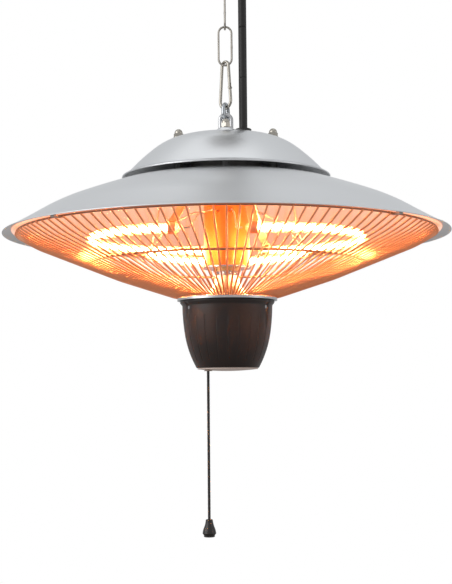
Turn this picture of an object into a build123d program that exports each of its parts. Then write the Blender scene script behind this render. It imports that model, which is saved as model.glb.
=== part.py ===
from build123d import *
import math
import os

# A ceiling radiant heater: a spun aluminium shade and cap, three quartz lamps over a wire guard,
# a plastic switch cup with a pull cord, and a chain with a snap hook that hangs it from a ceiling plate.
# Millimetres, +Z up. The origin is the centre of the ceiling plate's upper face, so all lies below it.
# Heights of the heater itself are measured from the lower edge of the shade's rim.

os.makedirs("parts", exist_ok=True)

# Clearances and cutting
seat_gap = 0.1          # between fixed pieces that fit in one another
swing_gap = 0.15        # between two links that hang in one another
running_gap = 0.05      # round a shaft, on the radius
overrun = 5.0           # how far a cutting shape runs past the wall that it cuts

# Ceiling plate
plate_radius = 45.0
plate_thickness = 4.0
plate_edge_round = 1.2
plate_screw_circle = 70.0
plate_screw_radius = 2.25
plate_screw_count = 3
plate_screw_first_angle = 30.0

# Ceiling hook
hook_wire = 4.0
hook_bowl_inside = 6.0
hook_drop = 34.0        # ceiling to the underside of the bowl
hook_head_radius = 4.3
hook_head_thickness = 1.4
hook_shank_drop = 9.5   # ceiling to the first bend
hook_bend_drop = 17.0   # ceiling to the second bend
hook_bend_radius = 5.0
hook_tip_rise = 3.0

# Chain
chain_wire = 2.0
chain_length = 40.1
chain_width = 14.6

# Snap hook
snap_wire = 3.0
snap_gap = 0.95          # to the chain link, which it crosses at a slant
snap_length = 48.5
snap_top_radius = 4.3    # to the middle of the wire
snap_bottom_radius = 7.0
snap_turn = -45.0        # turn of its plane about the vertical
snap_nose_drop = 16.5    # top to the end of the nose
gate_pin_drop = 27.8     # top to the gate's pin
gate_end_gap = 0.3
gate_pin_radius = 0.6
gate_fork_slot = 1.3
gate_fork_length = 9.0
gate_tongue = 1.1
gate_fork_clear = 2.4    # reach of the cut-back round the pin

# Short link
short_wire = 4.0
short_length = 18.5
short_width = 15.0
short_turn = 68.0
short_gap = 0.35         # to the U bolt, whose bend is nearly as tight

# U bolt in the crown
ubolt_wire = 4.0
ubolt_spacing = 10.6
ubolt_height = 20.8      # crown of the cap to the top of the bend
ubolt_tail = 5.6         # below the load plate
ubolt_nut_height = 3.2
ubolt_nut_flats = 7.0

# Power cord
cord_radius = 4.0
cord_offset = 16.9
ceiling_gland_drop = 16.0
ceiling_gland_radius = 7.5
ceiling_gland_flange_radius = 9.5
ceiling_gland_flange = 2.0
ceiling_gland_thread = 5.8
power_cord_turns = 3     # one stretch for each place where the chain bends

# Cap
cap_radius = 100.2
cap_rim_height = 56.3
crown_height = 99.5
cap_wall = 1.2
cap_hem = 3.2
cap_outline_share = ((0.0, 1.0), (0.455, 0.88), (0.699, 0.609), (0.948, 0.0625), (1.0, 0.0))

# Studs, spacers and nuts that tie the cap to the shade
stud_circle_radius = 45.6
stud_count = 4
stud_radius = 2.5
stud_pad_radius = 6.6
stud_pad_height = 95.6
washer_radius = 5.0
washer_thickness = 1.0
acorn_flats = 8.0
acorn_hex_height = 3.5
acorn_height = 8.0
acorn_dome_radius = 3.9
acorn_thread_depth = 5.6
sleeve_radius = 4.0
stud_nut_flats = 8.0
stud_nut_height = 2.8

# Load plate under the crown
load_plate_radius = 51.0
load_plate_thickness = 2.0
load_plate_window = 13.0

# Cord gland in the crown
gland_flange_radius = 7.9
gland_flange_height = 4.9
gland_neck_radius = 5.6
gland_tail_radius = 6.8
gland_tail_height = 2.5
gland_pad_radius = 9.2
gland_pad_height = 99.3
gland_edge_round = 0.9

# Shade
shade_radius = 212.5
shade_wall = 1.0
shade_opening = 73.5
shade_flat = 80.0
shade_top_height = 52.3
shade_outline_share = (
    (0.5176, 0.9082), (0.7059, 0.6386), (0.8471, 0.3595), (0.96, 0.0937), (1.0, 0.0188)
)

# Heat shield on the shade, with its rivets
shield_radius = 79.6
shield_thickness = 1.2
shield_rivet_circle = 76.6
shield_rivet_count = 6
rivet_radius = 1.5
rivet_head_radius = 2.4
rivet_head_height = 0.9

# Reflector
reflector_wall = 0.8
reflector_top = 42.8
reflector_flat = 65.0
reflector_outline_share = ((0.5647, 0.8318), (0.7529, 0.528), (0.9129, 0.1939), (0.96, 0.0806))

# Junction box on the shield
box_radius = 34.0
box_height = 21.0
box_wall = 1.2
box_flange = 5.0
box_cord_hole = 4.6
terminal_length = 30.0
terminal_width = 12.0
terminal_height = 10.0
terminal_screw_radius = 1.8
terminal_poles = 5
supply_lead_radius = 1.1

# Central tube, neck and bell
tube_radius = 22.0
tube_wall = 1.0
tube_bottom = -29.6
tube_flange = 6.2
tube_rivet_count = 4
tube_hole_radius = 2.2
end_cap_radius = 24.3
end_cap_thickness = 1.6
neck_radius = 10.5
neck_wall = 1.4
neck_top = -24.0
neck_tail = 5.0
neck_nut_radius = 13.2
neck_nut_height = 3.0
bell_top = -38.0
bell_bottom_radius = 23.0
bell_flange_radius = 27.0
bell_wall = 1.0
bell_lean = -88.0       # its outline starts nearly straight down

# Lamps
lamp_radius = 4.5
lamp_wall = 1.0
lamp_arc_radius = 92.0
lamp_offset = 38.0
lamp_height = -3.5
inner_lamp_arc_radius = 72.0
inner_lamp_height = -17.0
lamp_sweep = 178.0
left_lamp_middle = 170.0
right_lamp_middle = 355.0
inner_lamp_middle = 90.0
cold_end = 15.0
lamp_end_wall = 1.4
lamp_stem_radius = 1.6
lamp_stem_length = 3.0
filament_radius = 2.4   # outside of its coil
filament_tail_radius = 0.5

# Holder arms
arm_width = 9.0
arm_thickness = 1.2
arm_foot_circle = 57.0
arm_foot_radius = 5.5
clip_wall = 1.0
clip_width = 7.0

# Lead wires from the lamps to the central tube
lead_radius = 0.8
lead_entry_height = 22.0
lead_bend_radius = 5.0

# Guard
guard_wire_count = 116
guard_wire_radius = 0.9
guard_ring_inset = 13.5  # shade's edge to the middle of the outer ring
guard_ring_wire = 1.0
guard_mid_radius = 132.9
guard_mid_wire = 1.2
guard_wire_reach = 1.5   # how far the wires run past the outer ring's middle
guard_shoulder_inset = 28.5
guard_shoulder_drop = 9.2
guard_knee_radius = 105.0
guard_knee_drop = 40.5
guard_foot_radius = 53.0
guard_foot_drop = 57.6
guard_shoulder_bend = 60.0
guard_knee_bend = 120.0
guard_foot_bend = 6.0
clip_count = 4
clip_breadth = 5.0
clip_reach_in = 1.4      # past the outer ring's middle
clip_edge_inset = 4.5    # shade's edge to the clip's outer end
clip_plate = 0.8
clip_step_gap = 0.3      # between the reflector's edge and the clip's raised end

# Collar ring and the cup's top plate
collar_radius = 47.7
collar_bore = 42.0
collar_top = -59.9
collar_height = 2.2
top_plate_thickness = 2.0

# Cup, the switch housing
cup_lip_radius = 45.0
cup_lip_height = 2.4
cup_shoulder_radius = 43.0
cup_belly_radius = 40.8
cup_belly_drop = 93.3
cup_foot_radius = 29.7
cup_drop = 126.0
cup_wall = 2.4
cup_start_lean = -91.0
flute_count = 24
flute_depth = 0.35
flute_width_angle = 1.2
flute_top_drop = 76.5
flute_bottom_drop = 120.0
cup_screw_count = 3
cup_screw_first_angle = 90.0
cup_screw_drop = 69.4
cup_screw_radius = 1.0
cup_screw_head = 1.5
cup_screw_head_height = 1.0
cup_screw_length = 6.5
cup_channel_radius = 3.2
cup_channel_depth = 2.0
cup_boss_width = 8.0
cup_boss_height = 6.0
cup_boss_depth = 6.0

# Bottom plate of the cup
bottom_plate_wall = 1.5
bottom_plate_edge = 0.9  # how far its edge stands inside the cup's foot
bottom_plate_sag = 1.8

# Pull cord, its bushing, stop bead and spring
pull_cord_radius = 1.3
pull_cord_x = -18.6
pull_cord_y = -10.0
pull_travel = 8.0
bushing_radius = 3.2
bushing_bore = 1.6
bushing_flange = 3.9
bushing_flange_height = 0.6
bushing_flange_top = 128.4
bushing_seat = 121.5
bead_radius = 2.5
bead_height = 3.0
bead_top = 106.6
spring_wire_radius = 0.3
spring_radius = 2.9
spring_turns = 6
knob_top = 267.2
knob_bottom = 283.6
knob_shoulder = 279.9
knob_top_radius = 3.3
knob_widest_radius = 6.4
knob_bottom_radius = 5.2
knob_grip = 9.0

# Pull switch
switch_case_left = 22.8
switch_case_right = -0.8
switch_case_front = 14.4
switch_case_back = 13.0
switch_case_top = 80.0
switch_case_bottom = 104.4
switch_wall = 1.4
switch_cover = 1.4
switch_axle_radius = 1.5
switch_axle_drop = 92.0
wheel_cord_radius = 8.0  # axle to the middle of the cord
wheel_flange_radius = 9.3
wheel_width = 4.2
wheel_groove = 2.8
drum_radius = 8.6
drum_length = 11.0
drum_gap = 0.8
drum_notch_radius = 1.6
drum_notches = 4
contact_width = 6.0
contact_thickness = 0.6
contact_gap = 0.5
contact_count = 2
post_radius = 1.8
post_spread = 10.5

# Worked out from the sizes above, down from the ceiling
hook_bottom = -hook_drop
chain_seat = chain_wire + swing_gap
upper_link_top = hook_bottom + hook_wire + swing_gap + chain_wire
upper_link_bottom = upper_link_top - chain_length
lower_link_top = upper_link_bottom + chain_wire + chain_seat
lower_link_bottom = lower_link_top - chain_length
snap_top = lower_link_bottom + chain_wire + snap_gap + snap_wire
snap_bottom = snap_top - snap_length
short_top = snap_bottom + snap_wire + swing_gap + short_wire
short_bottom = short_top - short_length
ubolt_top = short_bottom + short_wire + short_gap + ubolt_wire
crown_z = ubolt_top - ubolt_height
rim_z = crown_z - crown_height
shield_top = shade_top_height + shield_thickness
stud_pad_foot = stud_pad_height - 2 * (cap_wall + washer_thickness)
load_plate_top = stud_pad_foot - stud_nut_height
load_plate_bottom = load_plate_top - load_plate_thickness
end_cap_bottom = tube_bottom - end_cap_thickness
top_plate_bottom = collar_top - collar_height
top_plate_top = top_plate_bottom + top_plate_thickness
cup_top = top_plate_bottom
gland_top = gland_pad_height + gland_flange_height
power_cord_bottom = rim_z + gland_top
power_cord_stretch = (-ceiling_gland_drop - power_cord_bottom) / power_cord_turns
swing_z = -(bushing_flange_top + bushing_flange_height)

heater = Pos(0, 0, rim_z)


def save(name, shape):
    """Write one named piece of the heater, or several separate solids that share a name."""
    export_step(shape, f"parts/{name}.step")


def around(count, first=0.0):
    """Turns about the vertical axis for pieces that repeat on a circle."""
    return [Rot(0, 0, first + step * 360 / count) for step in range(count)]


def spot(radius, angle):
    """The X and Y of a place on a circle about the vertical axis."""
    return radius * math.cos(math.radians(angle)), radius * math.sin(math.radians(angle))


def bar(radius, low, high):
    """Upright round bar between two heights."""
    return Pos(0, 0, (low + high) / 2) * Cylinder(radius, high - low)


def sleeve(outside, bore, low, high):
    """Upright tube between two heights."""
    return bar(outside, low, high) - bar(bore, low - overrun, high + overrun)


def hexagon(flats, low, high):
    """Upright hexagonal bar, by its width across flats."""
    corner = flats / math.sqrt(3)
    return extrude(Plane.XY.offset(low) * RegularPolygon(corner, 6), high - low)


def rod(path, radius):
    """Round bar that follows a path."""
    return sweep(Plane(path @ 0, z_dir=path % 0) * Circle(radius), path=path)


def straight(start, end, radius):
    """Round bar from one place to another."""
    along = Vector(*end) - Vector(*start)
    return extrude(Plane(start, z_dir=along) * Circle(radius), along.length)


def ring(radius, wire, height):
    """Closed wire ring that lies level."""
    return Pos(0, 0, height) * Torus(radius, wire)


def turned(*corners):
    """Solid of revolution about the vertical axis, from the corners of its half section."""
    face = make_face(Polyline(*[(r, 0, z) for r, z in corners], close=True))
    return revolve(face, Axis.Z)


def arcs_through(points, lean):
    """Arcs that run smoothly into each other through the points of a half section.

    lean is the direction at the first point, in degrees over the outward axis. Each arc leaves its
    chord as far on one side as the next direction leaves it on the other. Also gives the directions.
    """
    edges, leans = [], [lean]
    for (r0, z0), (r1, z1) in zip(points, points[1:]):
        here = math.radians(leans[-1])
        edges.append(
            TangentArc((r0, 0, z0), (r1, 0, z1), tangent=(math.cos(here), 0, math.sin(here)))
        )
        leans.append(2 * math.degrees(math.atan2(z1 - z0, r1 - r0)) - leans[-1])
    return edges, leans


def inside_of(points, leans, wall):
    """The points moved by the wall's thickness, square to the outline, towards the hollow."""
    return [
        (r + wall * math.sin(math.radians(lean)), z - wall * math.cos(math.radians(lean)))
        for (r, z), lean in zip(points, leans)
    ]


def spun_face(points, lean, wall):
    """Half section of a spun shell: its outline, the same line one wall further in, and two ends."""
    outer, leans = arcs_through(points, lean)
    inner_points = inside_of(points, leans, wall)
    inner, _ = arcs_through(inner_points, lean)
    ends = [
        Line((points[0][0], 0, points[0][1]), (inner_points[0][0], 0, inner_points[0][1])),
        Line((points[-1][0], 0, points[-1][1]), (inner_points[-1][0], 0, inner_points[-1][1])),
    ]
    return make_face(Curve() + outer + inner + ends)


def spun(points, lean, wall):
    """Thin shell of revolution whose outer skin runs through the points."""
    return revolve(spun_face(points, lean, wall), Axis.Z)


def oval_link(length, width, wire, top, turn):
    """Welded oval link that stands upright, with its top at a height and its plane turned."""
    bend = (width - wire) / 2
    high = top - wire / 2 - bend
    low = top - length + wire / 2 + bend
    right = Line((bend, 0, low), (bend, 0, high))
    over = ThreePointArc((bend, 0, high), (0, 0, high + bend), (-bend, 0, high))
    left = Line((-bend, 0, high), (-bend, 0, low))
    under = ThreePointArc((-bend, 0, low), (0, 0, low - bend), (bend, 0, low))
    return Rot(0, 0, turn) * rod(Wire([right, over, left, under]), wire / 2)


def ceiling_pieces():
    """Plate, hook and gland that stay on the ceiling."""
    plate = bar(plate_radius, -plate_thickness, 0)
    plate = fillet(plate.edges().filter_by(GeomType.CIRCLE).sort_by(Axis.Z)[0], plate_edge_round)
    for turn in around(plate_screw_count, plate_screw_first_angle):
        screw = Pos(plate_screw_circle / 2, 0, 0) * bar(
            plate_screw_radius, -plate_thickness - overrun, overrun
        )
        plate -= turn * screw
    plate -= bar(hook_wire / 2 + seat_gap, -plate_thickness - overrun, overrun)
    plate -= bar(hook_head_radius + seat_gap, -hook_head_thickness - seat_gap, overrun)
    plate -= Pos(cord_offset, 0, 0) * bar(
        ceiling_gland_thread + seat_gap, -plate_thickness - overrun, overrun
    )
    save("ceiling_plate", plate)

    bowl = hook_bowl_inside + hook_wire / 2
    bowl_z = hook_bottom + hook_wire / 2 + bowl
    shank = FilletPolyline(
        (0, 0, -hook_head_thickness),
        (0, 0, -hook_shank_drop),
        (-bowl, 0, -hook_bend_drop),
        (-bowl, 0, bowl_z),
        radius=hook_bend_radius,
    )
    sweep_round = ThreePointArc((-bowl, 0, bowl_z), (0, 0, bowl_z - bowl), (bowl, 0, bowl_z))
    tip = Line((bowl, 0, bowl_z), (bowl, 0, bowl_z + hook_tip_rise))
    hook = rod(Wire(shank.edges() + sweep_round.edges() + tip.edges()), hook_wire / 2)
    hook += bar(hook_head_radius, -hook_head_thickness, -seat_gap)
    hook += Pos(bowl, 0, bowl_z + hook_tip_rise) * Sphere(hook_wire / 2)
    save("ceiling_hook", hook)

    gland = bar(ceiling_gland_thread, -plate_thickness, -seat_gap)
    gland += bar(ceiling_gland_flange_radius, -plate_thickness - ceiling_gland_flange, -plate_thickness)
    gland += bar(ceiling_gland_radius, -ceiling_gland_drop, -plate_thickness - ceiling_gland_flange)
    gland = fillet(gland.edges().filter_by(GeomType.CIRCLE).sort_by(Axis.Z)[0], plate_edge_round)
    gland -= bar(cord_radius, -ceiling_gland_drop - overrun, overrun)
    save("ceiling_gland", Pos(cord_offset, 0, 0) * gland)


def power_cord():
    """Outer cord, pulled straight between the two glands: one stretch for each bend of the chain."""
    names = ("power_cord_upper", "power_cord_middle", "power_cord_lower")
    high = -seat_gap
    for place, name in enumerate(names):
        low = power_cord_bottom + (power_cord_turns - 1 - place) * power_cord_stretch
        save(name, Pos(cord_offset, 0, 0) * bar(cord_radius, low, high))
        print(name, "straight, length", round(high - low, 1), "radius of section", cord_radius)
        high = low


def snap_sides():
    """Where the straight sides of the snap hook touch its two bends, in its own plane."""
    high = snap_top - snap_wire / 2 - snap_top_radius
    low = snap_bottom + snap_wire / 2 + snap_bottom_radius
    splay = math.asin((snap_bottom_radius - snap_top_radius) / (high - low))
    top = (snap_top_radius * math.cos(splay), high + snap_top_radius * math.sin(splay))
    bottom = (snap_bottom_radius * math.cos(splay), low + snap_bottom_radius * math.sin(splay))
    return high, low, splay, top, bottom


def on_side(top, bottom, height):
    """The point of the snap hook's right side at a height."""
    share = (top[1] - height) / (top[1] - bottom[1])
    return top[0] + (bottom[0] - top[0]) * share, height


def snap_hook():
    """Pear-shaped wire body, open on one side, with a pin in its tongue, and the gate that closes it."""
    high, low, splay, top, bottom = snap_sides()
    nose = on_side(top, bottom, snap_top - snap_nose_drop)
    hinge = on_side(top, bottom, snap_top - gate_pin_drop)
    nose_path = Line((nose[0], 0, nose[1]), (top[0], 0, top[1]))
    over = ThreePointArc((top[0], 0, top[1]), (0, 0, high + snap_top_radius), (-top[0], 0, top[1]))
    left = Line((-top[0], 0, top[1]), (-bottom[0], 0, bottom[1]))
    under = ThreePointArc(
        (-bottom[0], 0, bottom[1]), (0, 0, low - snap_bottom_radius), (bottom[0], 0, bottom[1])
    )
    right = Line((bottom[0], 0, bottom[1]), (hinge[0], 0, hinge[1]))
    body = rod(Wire([nose_path, over, left, under, right]), snap_wire / 2)
    along = Vector(top[0] - bottom[0], 0, top[1] - bottom[1]).normalized()
    pin_place = Plane((hinge[0], 0, hinge[1]), x_dir=(0, 1, 0), z_dir=along)
    cheek = (snap_wire - gate_tongue) / 2 + overrun
    for side in (-1, 1):
        offset = side * (gate_tongue / 2 + cheek / 2)
        body -= pin_place * Pos(offset, 0, 0) * Box(cheek, snap_wire + overrun, 2 * gate_fork_clear)
    tip_round = Plane((hinge[0], 0, hinge[1]), z_dir=(0, 1, 0)) * Cylinder(snap_wire / 2, gate_tongue)
    body += tip_round
    body += Plane((hinge[0], 0, hinge[1]), z_dir=(0, 1, 0)) * Cylinder(gate_pin_radius, snap_wire)
    turn = Rot(0, 0, snap_turn)
    save("snap_hook", turn * body)

    length = math.dist(nose, hinge) - gate_end_gap
    gate_top = (hinge[0] + along.X * length, 0, hinge[1] + along.Z * length)
    gate = straight((hinge[0], 0, hinge[1]), gate_top, snap_wire / 2)
    gate += Plane((hinge[0], 0, hinge[1]), z_dir=(0, 1, 0)) * Cylinder(snap_wire / 2, snap_wire)
    gate -= pin_place * Box(gate_fork_slot, snap_wire + overrun, gate_fork_length)
    hole = Plane((hinge[0], 0, hinge[1]), z_dir=(0, 1, 0)) * Cylinder(
        gate_pin_radius + running_gap, snap_wire + overrun
    )
    save("snap_hook_gate", turn * (gate - hole))
    print("gate pin at", [round(v, 3) for v in (turn * Pos(hinge[0], 0, hinge[1])).position])


def hanging_pieces():
    """Chain, snap hook, short link and U bolt, from the ceiling hook down to the cap."""
    upper = oval_link(chain_length, chain_width, chain_wire, upper_link_top, 90)
    lower = oval_link(chain_length, chain_width, chain_wire, lower_link_top, 0)
    save("chain_links", Compound(children=[upper, lower]))
    snap_hook()
    save("short_link", oval_link(short_length, short_width, short_wire, short_top, short_turn))

    half = ubolt_spacing / 2
    bend_z = ubolt_top - ubolt_wire / 2 - half
    foot_z = rim_z + load_plate_bottom - ubolt_tail
    left = Line((-half, 0, foot_z), (-half, 0, bend_z))
    over = ThreePointArc((-half, 0, bend_z), (0, 0, bend_z + half), (half, 0, bend_z))
    right = Line((half, 0, bend_z), (half, 0, foot_z))
    save("u_bolt", rod(Wire([left, over, right]), ubolt_wire / 2))
    nut = hexagon(ubolt_nut_flats, load_plate_bottom - ubolt_nut_height, load_plate_bottom)
    nut -= bar(ubolt_wire / 2 + seat_gap, load_plate_bottom - ubolt_tail - overrun, load_plate_top)
    nuts = [heater * Pos(side * half, 0, 0) * nut for side in (-1, 1)]
    save("u_bolt_nuts", Compound(children=nuts))


def cap_points():
    """Outline of the cap, from the crown to the rim."""
    rise = crown_height - cap_rim_height
    return [(r * cap_radius, cap_rim_height + z * rise) for r, z in cap_outline_share]


def cap():
    """Upper cap, spun from sheet, with flat pads for its nuts and gland and a hem turned in."""
    shell = spun(cap_points(), 0, cap_wall)
    hem = sleeve(cap_radius, cap_radius - cap_hem, cap_rim_height, cap_rim_height + cap_wall)
    shell += hem
    pad = bar(stud_pad_radius, stud_pad_foot, stud_pad_height)
    hole = bar(stud_radius + seat_gap, load_plate_top, stud_pad_height + overrun)
    for turn in around(stud_count):
        shell += turn * Pos(stud_circle_radius, 0, 0) * pad
    shell += Pos(cord_offset, 0, 0) * bar(
        gland_pad_radius, gland_pad_height - 2 * cap_wall, gland_pad_height
    )
    for turn in around(stud_count):
        shell -= turn * Pos(stud_circle_radius, 0, 0) * hole
    shell -= Pos(cord_offset, 0, 0) * bar(
        gland_neck_radius + seat_gap, load_plate_top, gland_pad_height + overrun
    )
    for side in (-1, 1):
        shell -= Pos(side * ubolt_spacing / 2, 0, 0) * bar(
            ubolt_wire / 2 + seat_gap, load_plate_top, crown_height + overrun
        )
    save("cap", heater * shell)


def acorn_nut():
    """Domed nut with a blind thread, standing on its washer."""
    base = stud_pad_height + washer_thickness
    dome_z = base + acorn_height - acorn_dome_radius
    nut = hexagon(acorn_flats, base, base + acorn_hex_height)
    nut += bar(acorn_dome_radius, base, dome_z) + Pos(0, 0, dome_z) * Sphere(acorn_dome_radius)
    return nut - bar(stud_radius + seat_gap, base - overrun, base + acorn_thread_depth)


def tie_pieces():
    """Studs with their sleeves and nuts, and the load plate that carries the U bolt."""
    place = Pos(stud_circle_radius, 0, 0)
    stud_foot = reflector_top - reflector_wall - stud_nut_height
    stud = bar(stud_radius, stud_foot, stud_pad_height + washer_thickness + acorn_thread_depth - seat_gap)
    bore = stud_radius + seat_gap
    washer = sleeve(washer_radius, bore, stud_pad_height, stud_pad_height + washer_thickness)
    nuts = []
    for nut_foot in (load_plate_top, stud_foot):
        nut = hexagon(stud_nut_flats, nut_foot, nut_foot + stud_nut_height)
        nuts.append(nut - bar(bore, nut_foot - overrun, nut_foot + stud_nut_height + overrun))
    upper_sleeve = sleeve(sleeve_radius, bore, shield_top, load_plate_bottom)
    lower_sleeve = sleeve(sleeve_radius, bore, reflector_top, shade_top_height)
    groups = {
        "acorn_nuts": [acorn_nut()],
        "cap_washers": [washer],
        "cap_studs": [stud],
        "stud_nuts": nuts,
        "spacer_sleeves": [upper_sleeve, lower_sleeve],
    }
    for name, pieces in groups.items():
        turns = around(stud_count)
        placed = [heater * turn * place * piece for turn in turns for piece in pieces]
        save(name, Compound(children=placed))

    plate = bar(load_plate_radius, load_plate_bottom, load_plate_top)
    window_circle = (stud_circle_radius + cord_offset) / 2
    for turn in around(stud_count, 180 / stud_count):
        plate -= turn * Pos(window_circle, 0, 0) * bar(
            load_plate_window, load_plate_bottom - overrun, load_plate_top + overrun
        )
    for turn in around(stud_count):
        plate -= turn * place * bar(bore, load_plate_bottom - overrun, load_plate_top + overrun)
    for side in (-1, 1):
        plate -= Pos(side * ubolt_spacing / 2, 0, 0) * bar(
            ubolt_wire / 2 + seat_gap, load_plate_bottom - overrun, load_plate_top + overrun
        )
    plate -= Pos(cord_offset, 0, 0) * bar(
        cord_radius + seat_gap, load_plate_bottom - overrun, load_plate_top + overrun
    )
    save("load_plate", heater * plate)


def crown_gland():
    """Rubber gland in the crown, and the end of the cord inside the cap."""
    neck_bottom = gland_pad_height - 2 * cap_wall
    gland = bar(gland_neck_radius, neck_bottom - gland_tail_height, gland_pad_height)
    gland += bar(gland_flange_radius, gland_pad_height, gland_top)
    gland = fillet(gland.edges().filter_by(GeomType.CIRCLE).sort_by(Axis.Z)[-1], gland_edge_round)
    gland += bar(gland_tail_radius, neck_bottom - gland_tail_height, neck_bottom - seat_gap)
    gland -= bar(cord_radius + seat_gap, neck_bottom - gland_tail_height - overrun, gland_top + overrun)
    save("cord_gland", heater * Pos(cord_offset, 0, 0) * gland)
    tail_bottom = shield_top + box_height - box_wall - gland_tail_height
    tail = bar(cord_radius, tail_bottom, gland_top)
    save("power_cord_tail", heater * Pos(cord_offset, 0, 0) * tail)


def shade_points():
    """Outline of the shade, from the flat at its opening to its edge."""
    points = [(shade_flat, shade_top_height)]
    points += [(r * shade_radius, z * shade_top_height) for r, z in shade_outline_share]
    return points


def shade():
    """Main shade, spun from sheet, with a flat seat at its opening and a plain edge."""
    shell = spun(shade_points(), 0, shade_wall)
    shell += sleeve(shade_flat, shade_opening, shade_top_height - shade_wall, shade_top_height)
    hole = Pos(shield_rivet_circle, 0, 0) * bar(
        rivet_radius + seat_gap, shade_top_height - overrun, shade_top_height + overrun
    )
    for turn in around(shield_rivet_count):
        shell -= turn * hole
    save("shade", heater * shell)


def heat_shield():
    """Black disc that closes the shade's opening, with holes for all that goes through it."""
    disc = bar(shield_radius, shade_top_height, shield_top)
    for turn in around(stud_count):
        disc -= turn * Pos(stud_circle_radius, 0, 0) * bar(
            stud_radius + seat_gap, shade_top_height - overrun, shield_top + overrun
        )
    rivet_hole = bar(rivet_radius + seat_gap, shade_top_height - overrun, shield_top + overrun)
    for turn in around(shield_rivet_count):
        disc -= turn * Pos(shield_rivet_circle, 0, 0) * rivet_hole
    for turn in around(tube_rivet_count, 180 / tube_rivet_count):
        disc -= turn * Pos(tube_radius + tube_flange / 2, 0, 0) * rivet_hole
    disc -= bar(neck_radius, shade_top_height - overrun, shield_top + overrun)
    save("heat_shield", heater * disc)


def reflector_points():
    """Outline of the reflector, from its flat middle to where it meets the shade's inner skin."""
    points = [(reflector_flat, reflector_top)]
    points += [(r * shade_radius, z * reflector_top) for r, z in reflector_outline_share]
    return points


def reflector():
    """Polished reflector that lines the shade and ends close under its skin."""
    shell = spun(reflector_points(), 0, reflector_wall)
    shell += sleeve(
        reflector_flat, tube_radius + seat_gap, reflector_top - reflector_wall, reflector_top
    )
    for turn in around(stud_count):
        shell -= turn * Pos(stud_circle_radius, 0, 0) * bar(
            stud_radius + seat_gap, reflector_top - overrun, reflector_top + overrun
        )
    for x, y in arm_feet():
        shell -= Pos(x, y, 0) * bar(
            rivet_radius + seat_gap, reflector_top - overrun, reflector_top + overrun
        )
    save("reflector", heater * shell)


def junction_box():
    """Drawn cover on the heat shield, with the terminal block and the supply leads under it."""
    wall_top = shield_top + box_height - box_wall
    box = sleeve(box_radius, box_radius - box_wall, shield_top, wall_top)
    box += sleeve(box_radius + box_flange, box_radius - box_wall, shield_top, shield_top + box_wall)
    box += bar(box_radius, wall_top, wall_top + box_wall)
    box -= Pos(cord_offset, 0, 0) * bar(box_cord_hole, wall_top - overrun, wall_top + overrun)
    save("junction_box", heater * box)

    block_z = shield_top + terminal_height / 2
    block = Pos(0, -box_radius / 2, block_z) * Box(terminal_length, terminal_width, terminal_height)
    top = shield_top + terminal_height
    for pole in range(terminal_poles):
        x = (pole - (terminal_poles - 1) / 2) * terminal_length / terminal_poles
        screw_hole = bar(terminal_screw_radius, top - terminal_height / 2, top + overrun)
        block -= Pos(x, -box_radius / 2, 0) * screw_hole
    save("terminal_block", heater * block)

    start_z = shield_top + box_height - box_wall - gland_tail_height
    back = -box_radius / 2 + terminal_width / 2
    leads = []
    for place in (-1, 1):
        x = place * terminal_length / terminal_poles
        path = FilletPolyline(
            (cord_offset + place * cord_radius / 2, 0, start_z),
            (cord_offset + place * cord_radius / 2, 0, start_z - terminal_height / 2),
            (x, back + terminal_width / 2, shield_top + terminal_height / 2),
            (x, back, shield_top + terminal_height / 2),
            radius=2 * supply_lead_radius,
        )
        leads.append(heater * rod(path, supply_lead_radius))
    return leads


def column():
    """Central tube with its end cap, the neck that hangs from it and the bell under it."""
    tube = sleeve(tube_radius, tube_radius - tube_wall, tube_bottom, shade_top_height)
    tube += sleeve(
        tube_radius + tube_flange, tube_radius - tube_wall, shade_top_height - tube_wall, shade_top_height
    )
    rivet_spots = [
        turn * Pos(tube_radius + tube_flange / 2, 0, 0)
        for turn in around(tube_rivet_count, 180 / tube_rivet_count)
    ]
    for place in rivet_spots:
        tube -= place * bar(
            rivet_radius + seat_gap, shade_top_height - overrun, shade_top_height + overrun
        )
    for x, y, _ in lead_entries():
        angle = math.degrees(math.atan2(y, x))
        hole = Rot(0, 0, angle) * Pos(tube_radius, 0, lead_entry_height)
        tube -= hole * Rot(0, 90, 0) * Cylinder(tube_hole_radius, tube_radius / 2)
    save("central_tube", heater * tube)
    cap_disc = sleeve(end_cap_radius, neck_radius + seat_gap, end_cap_bottom, tube_bottom)
    save("tube_end_cap", heater * cap_disc)
    neck_foot = top_plate_bottom - neck_tail
    save("neck_tube", heater * sleeve(neck_radius, neck_radius - neck_wall, neck_foot, neck_top))
    upper_nut = sleeve(neck_nut_radius, neck_radius + seat_gap, tube_bottom, tube_bottom + neck_nut_height)
    lock_nut = sleeve(
        neck_nut_radius, neck_radius + seat_gap, end_cap_bottom - neck_nut_height, end_cap_bottom
    )
    lower_nut = sleeve(
        neck_nut_radius, neck_radius + seat_gap, top_plate_bottom - neck_nut_height, top_plate_bottom
    )
    nuts = [heater * nut for nut in (upper_nut, lock_nut, lower_nut)]
    save("neck_nuts", Compound(children=nuts))

    bell_foot = top_plate_top + bell_wall
    points = [(neck_radius + seat_gap + bell_wall, bell_top), (bell_bottom_radius, bell_foot)]
    bell = spun(points, bell_lean, bell_wall)
    bell += sleeve(bell_flange_radius, bell_bottom_radius - bell_wall, top_plate_top, bell_foot)
    save("bell", heater * bell)


def lamp_layout():
    """Name, middle of the arc, arc radius, height and middle direction of each lamp."""
    return (
        ("left", (-lamp_offset, 0), lamp_arc_radius, lamp_height, left_lamp_middle),
        ("right", (lamp_offset, 0), lamp_arc_radius, lamp_height, right_lamp_middle),
        ("inner", (0, 0), inner_lamp_arc_radius, inner_lamp_height, inner_lamp_middle),
    )


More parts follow.
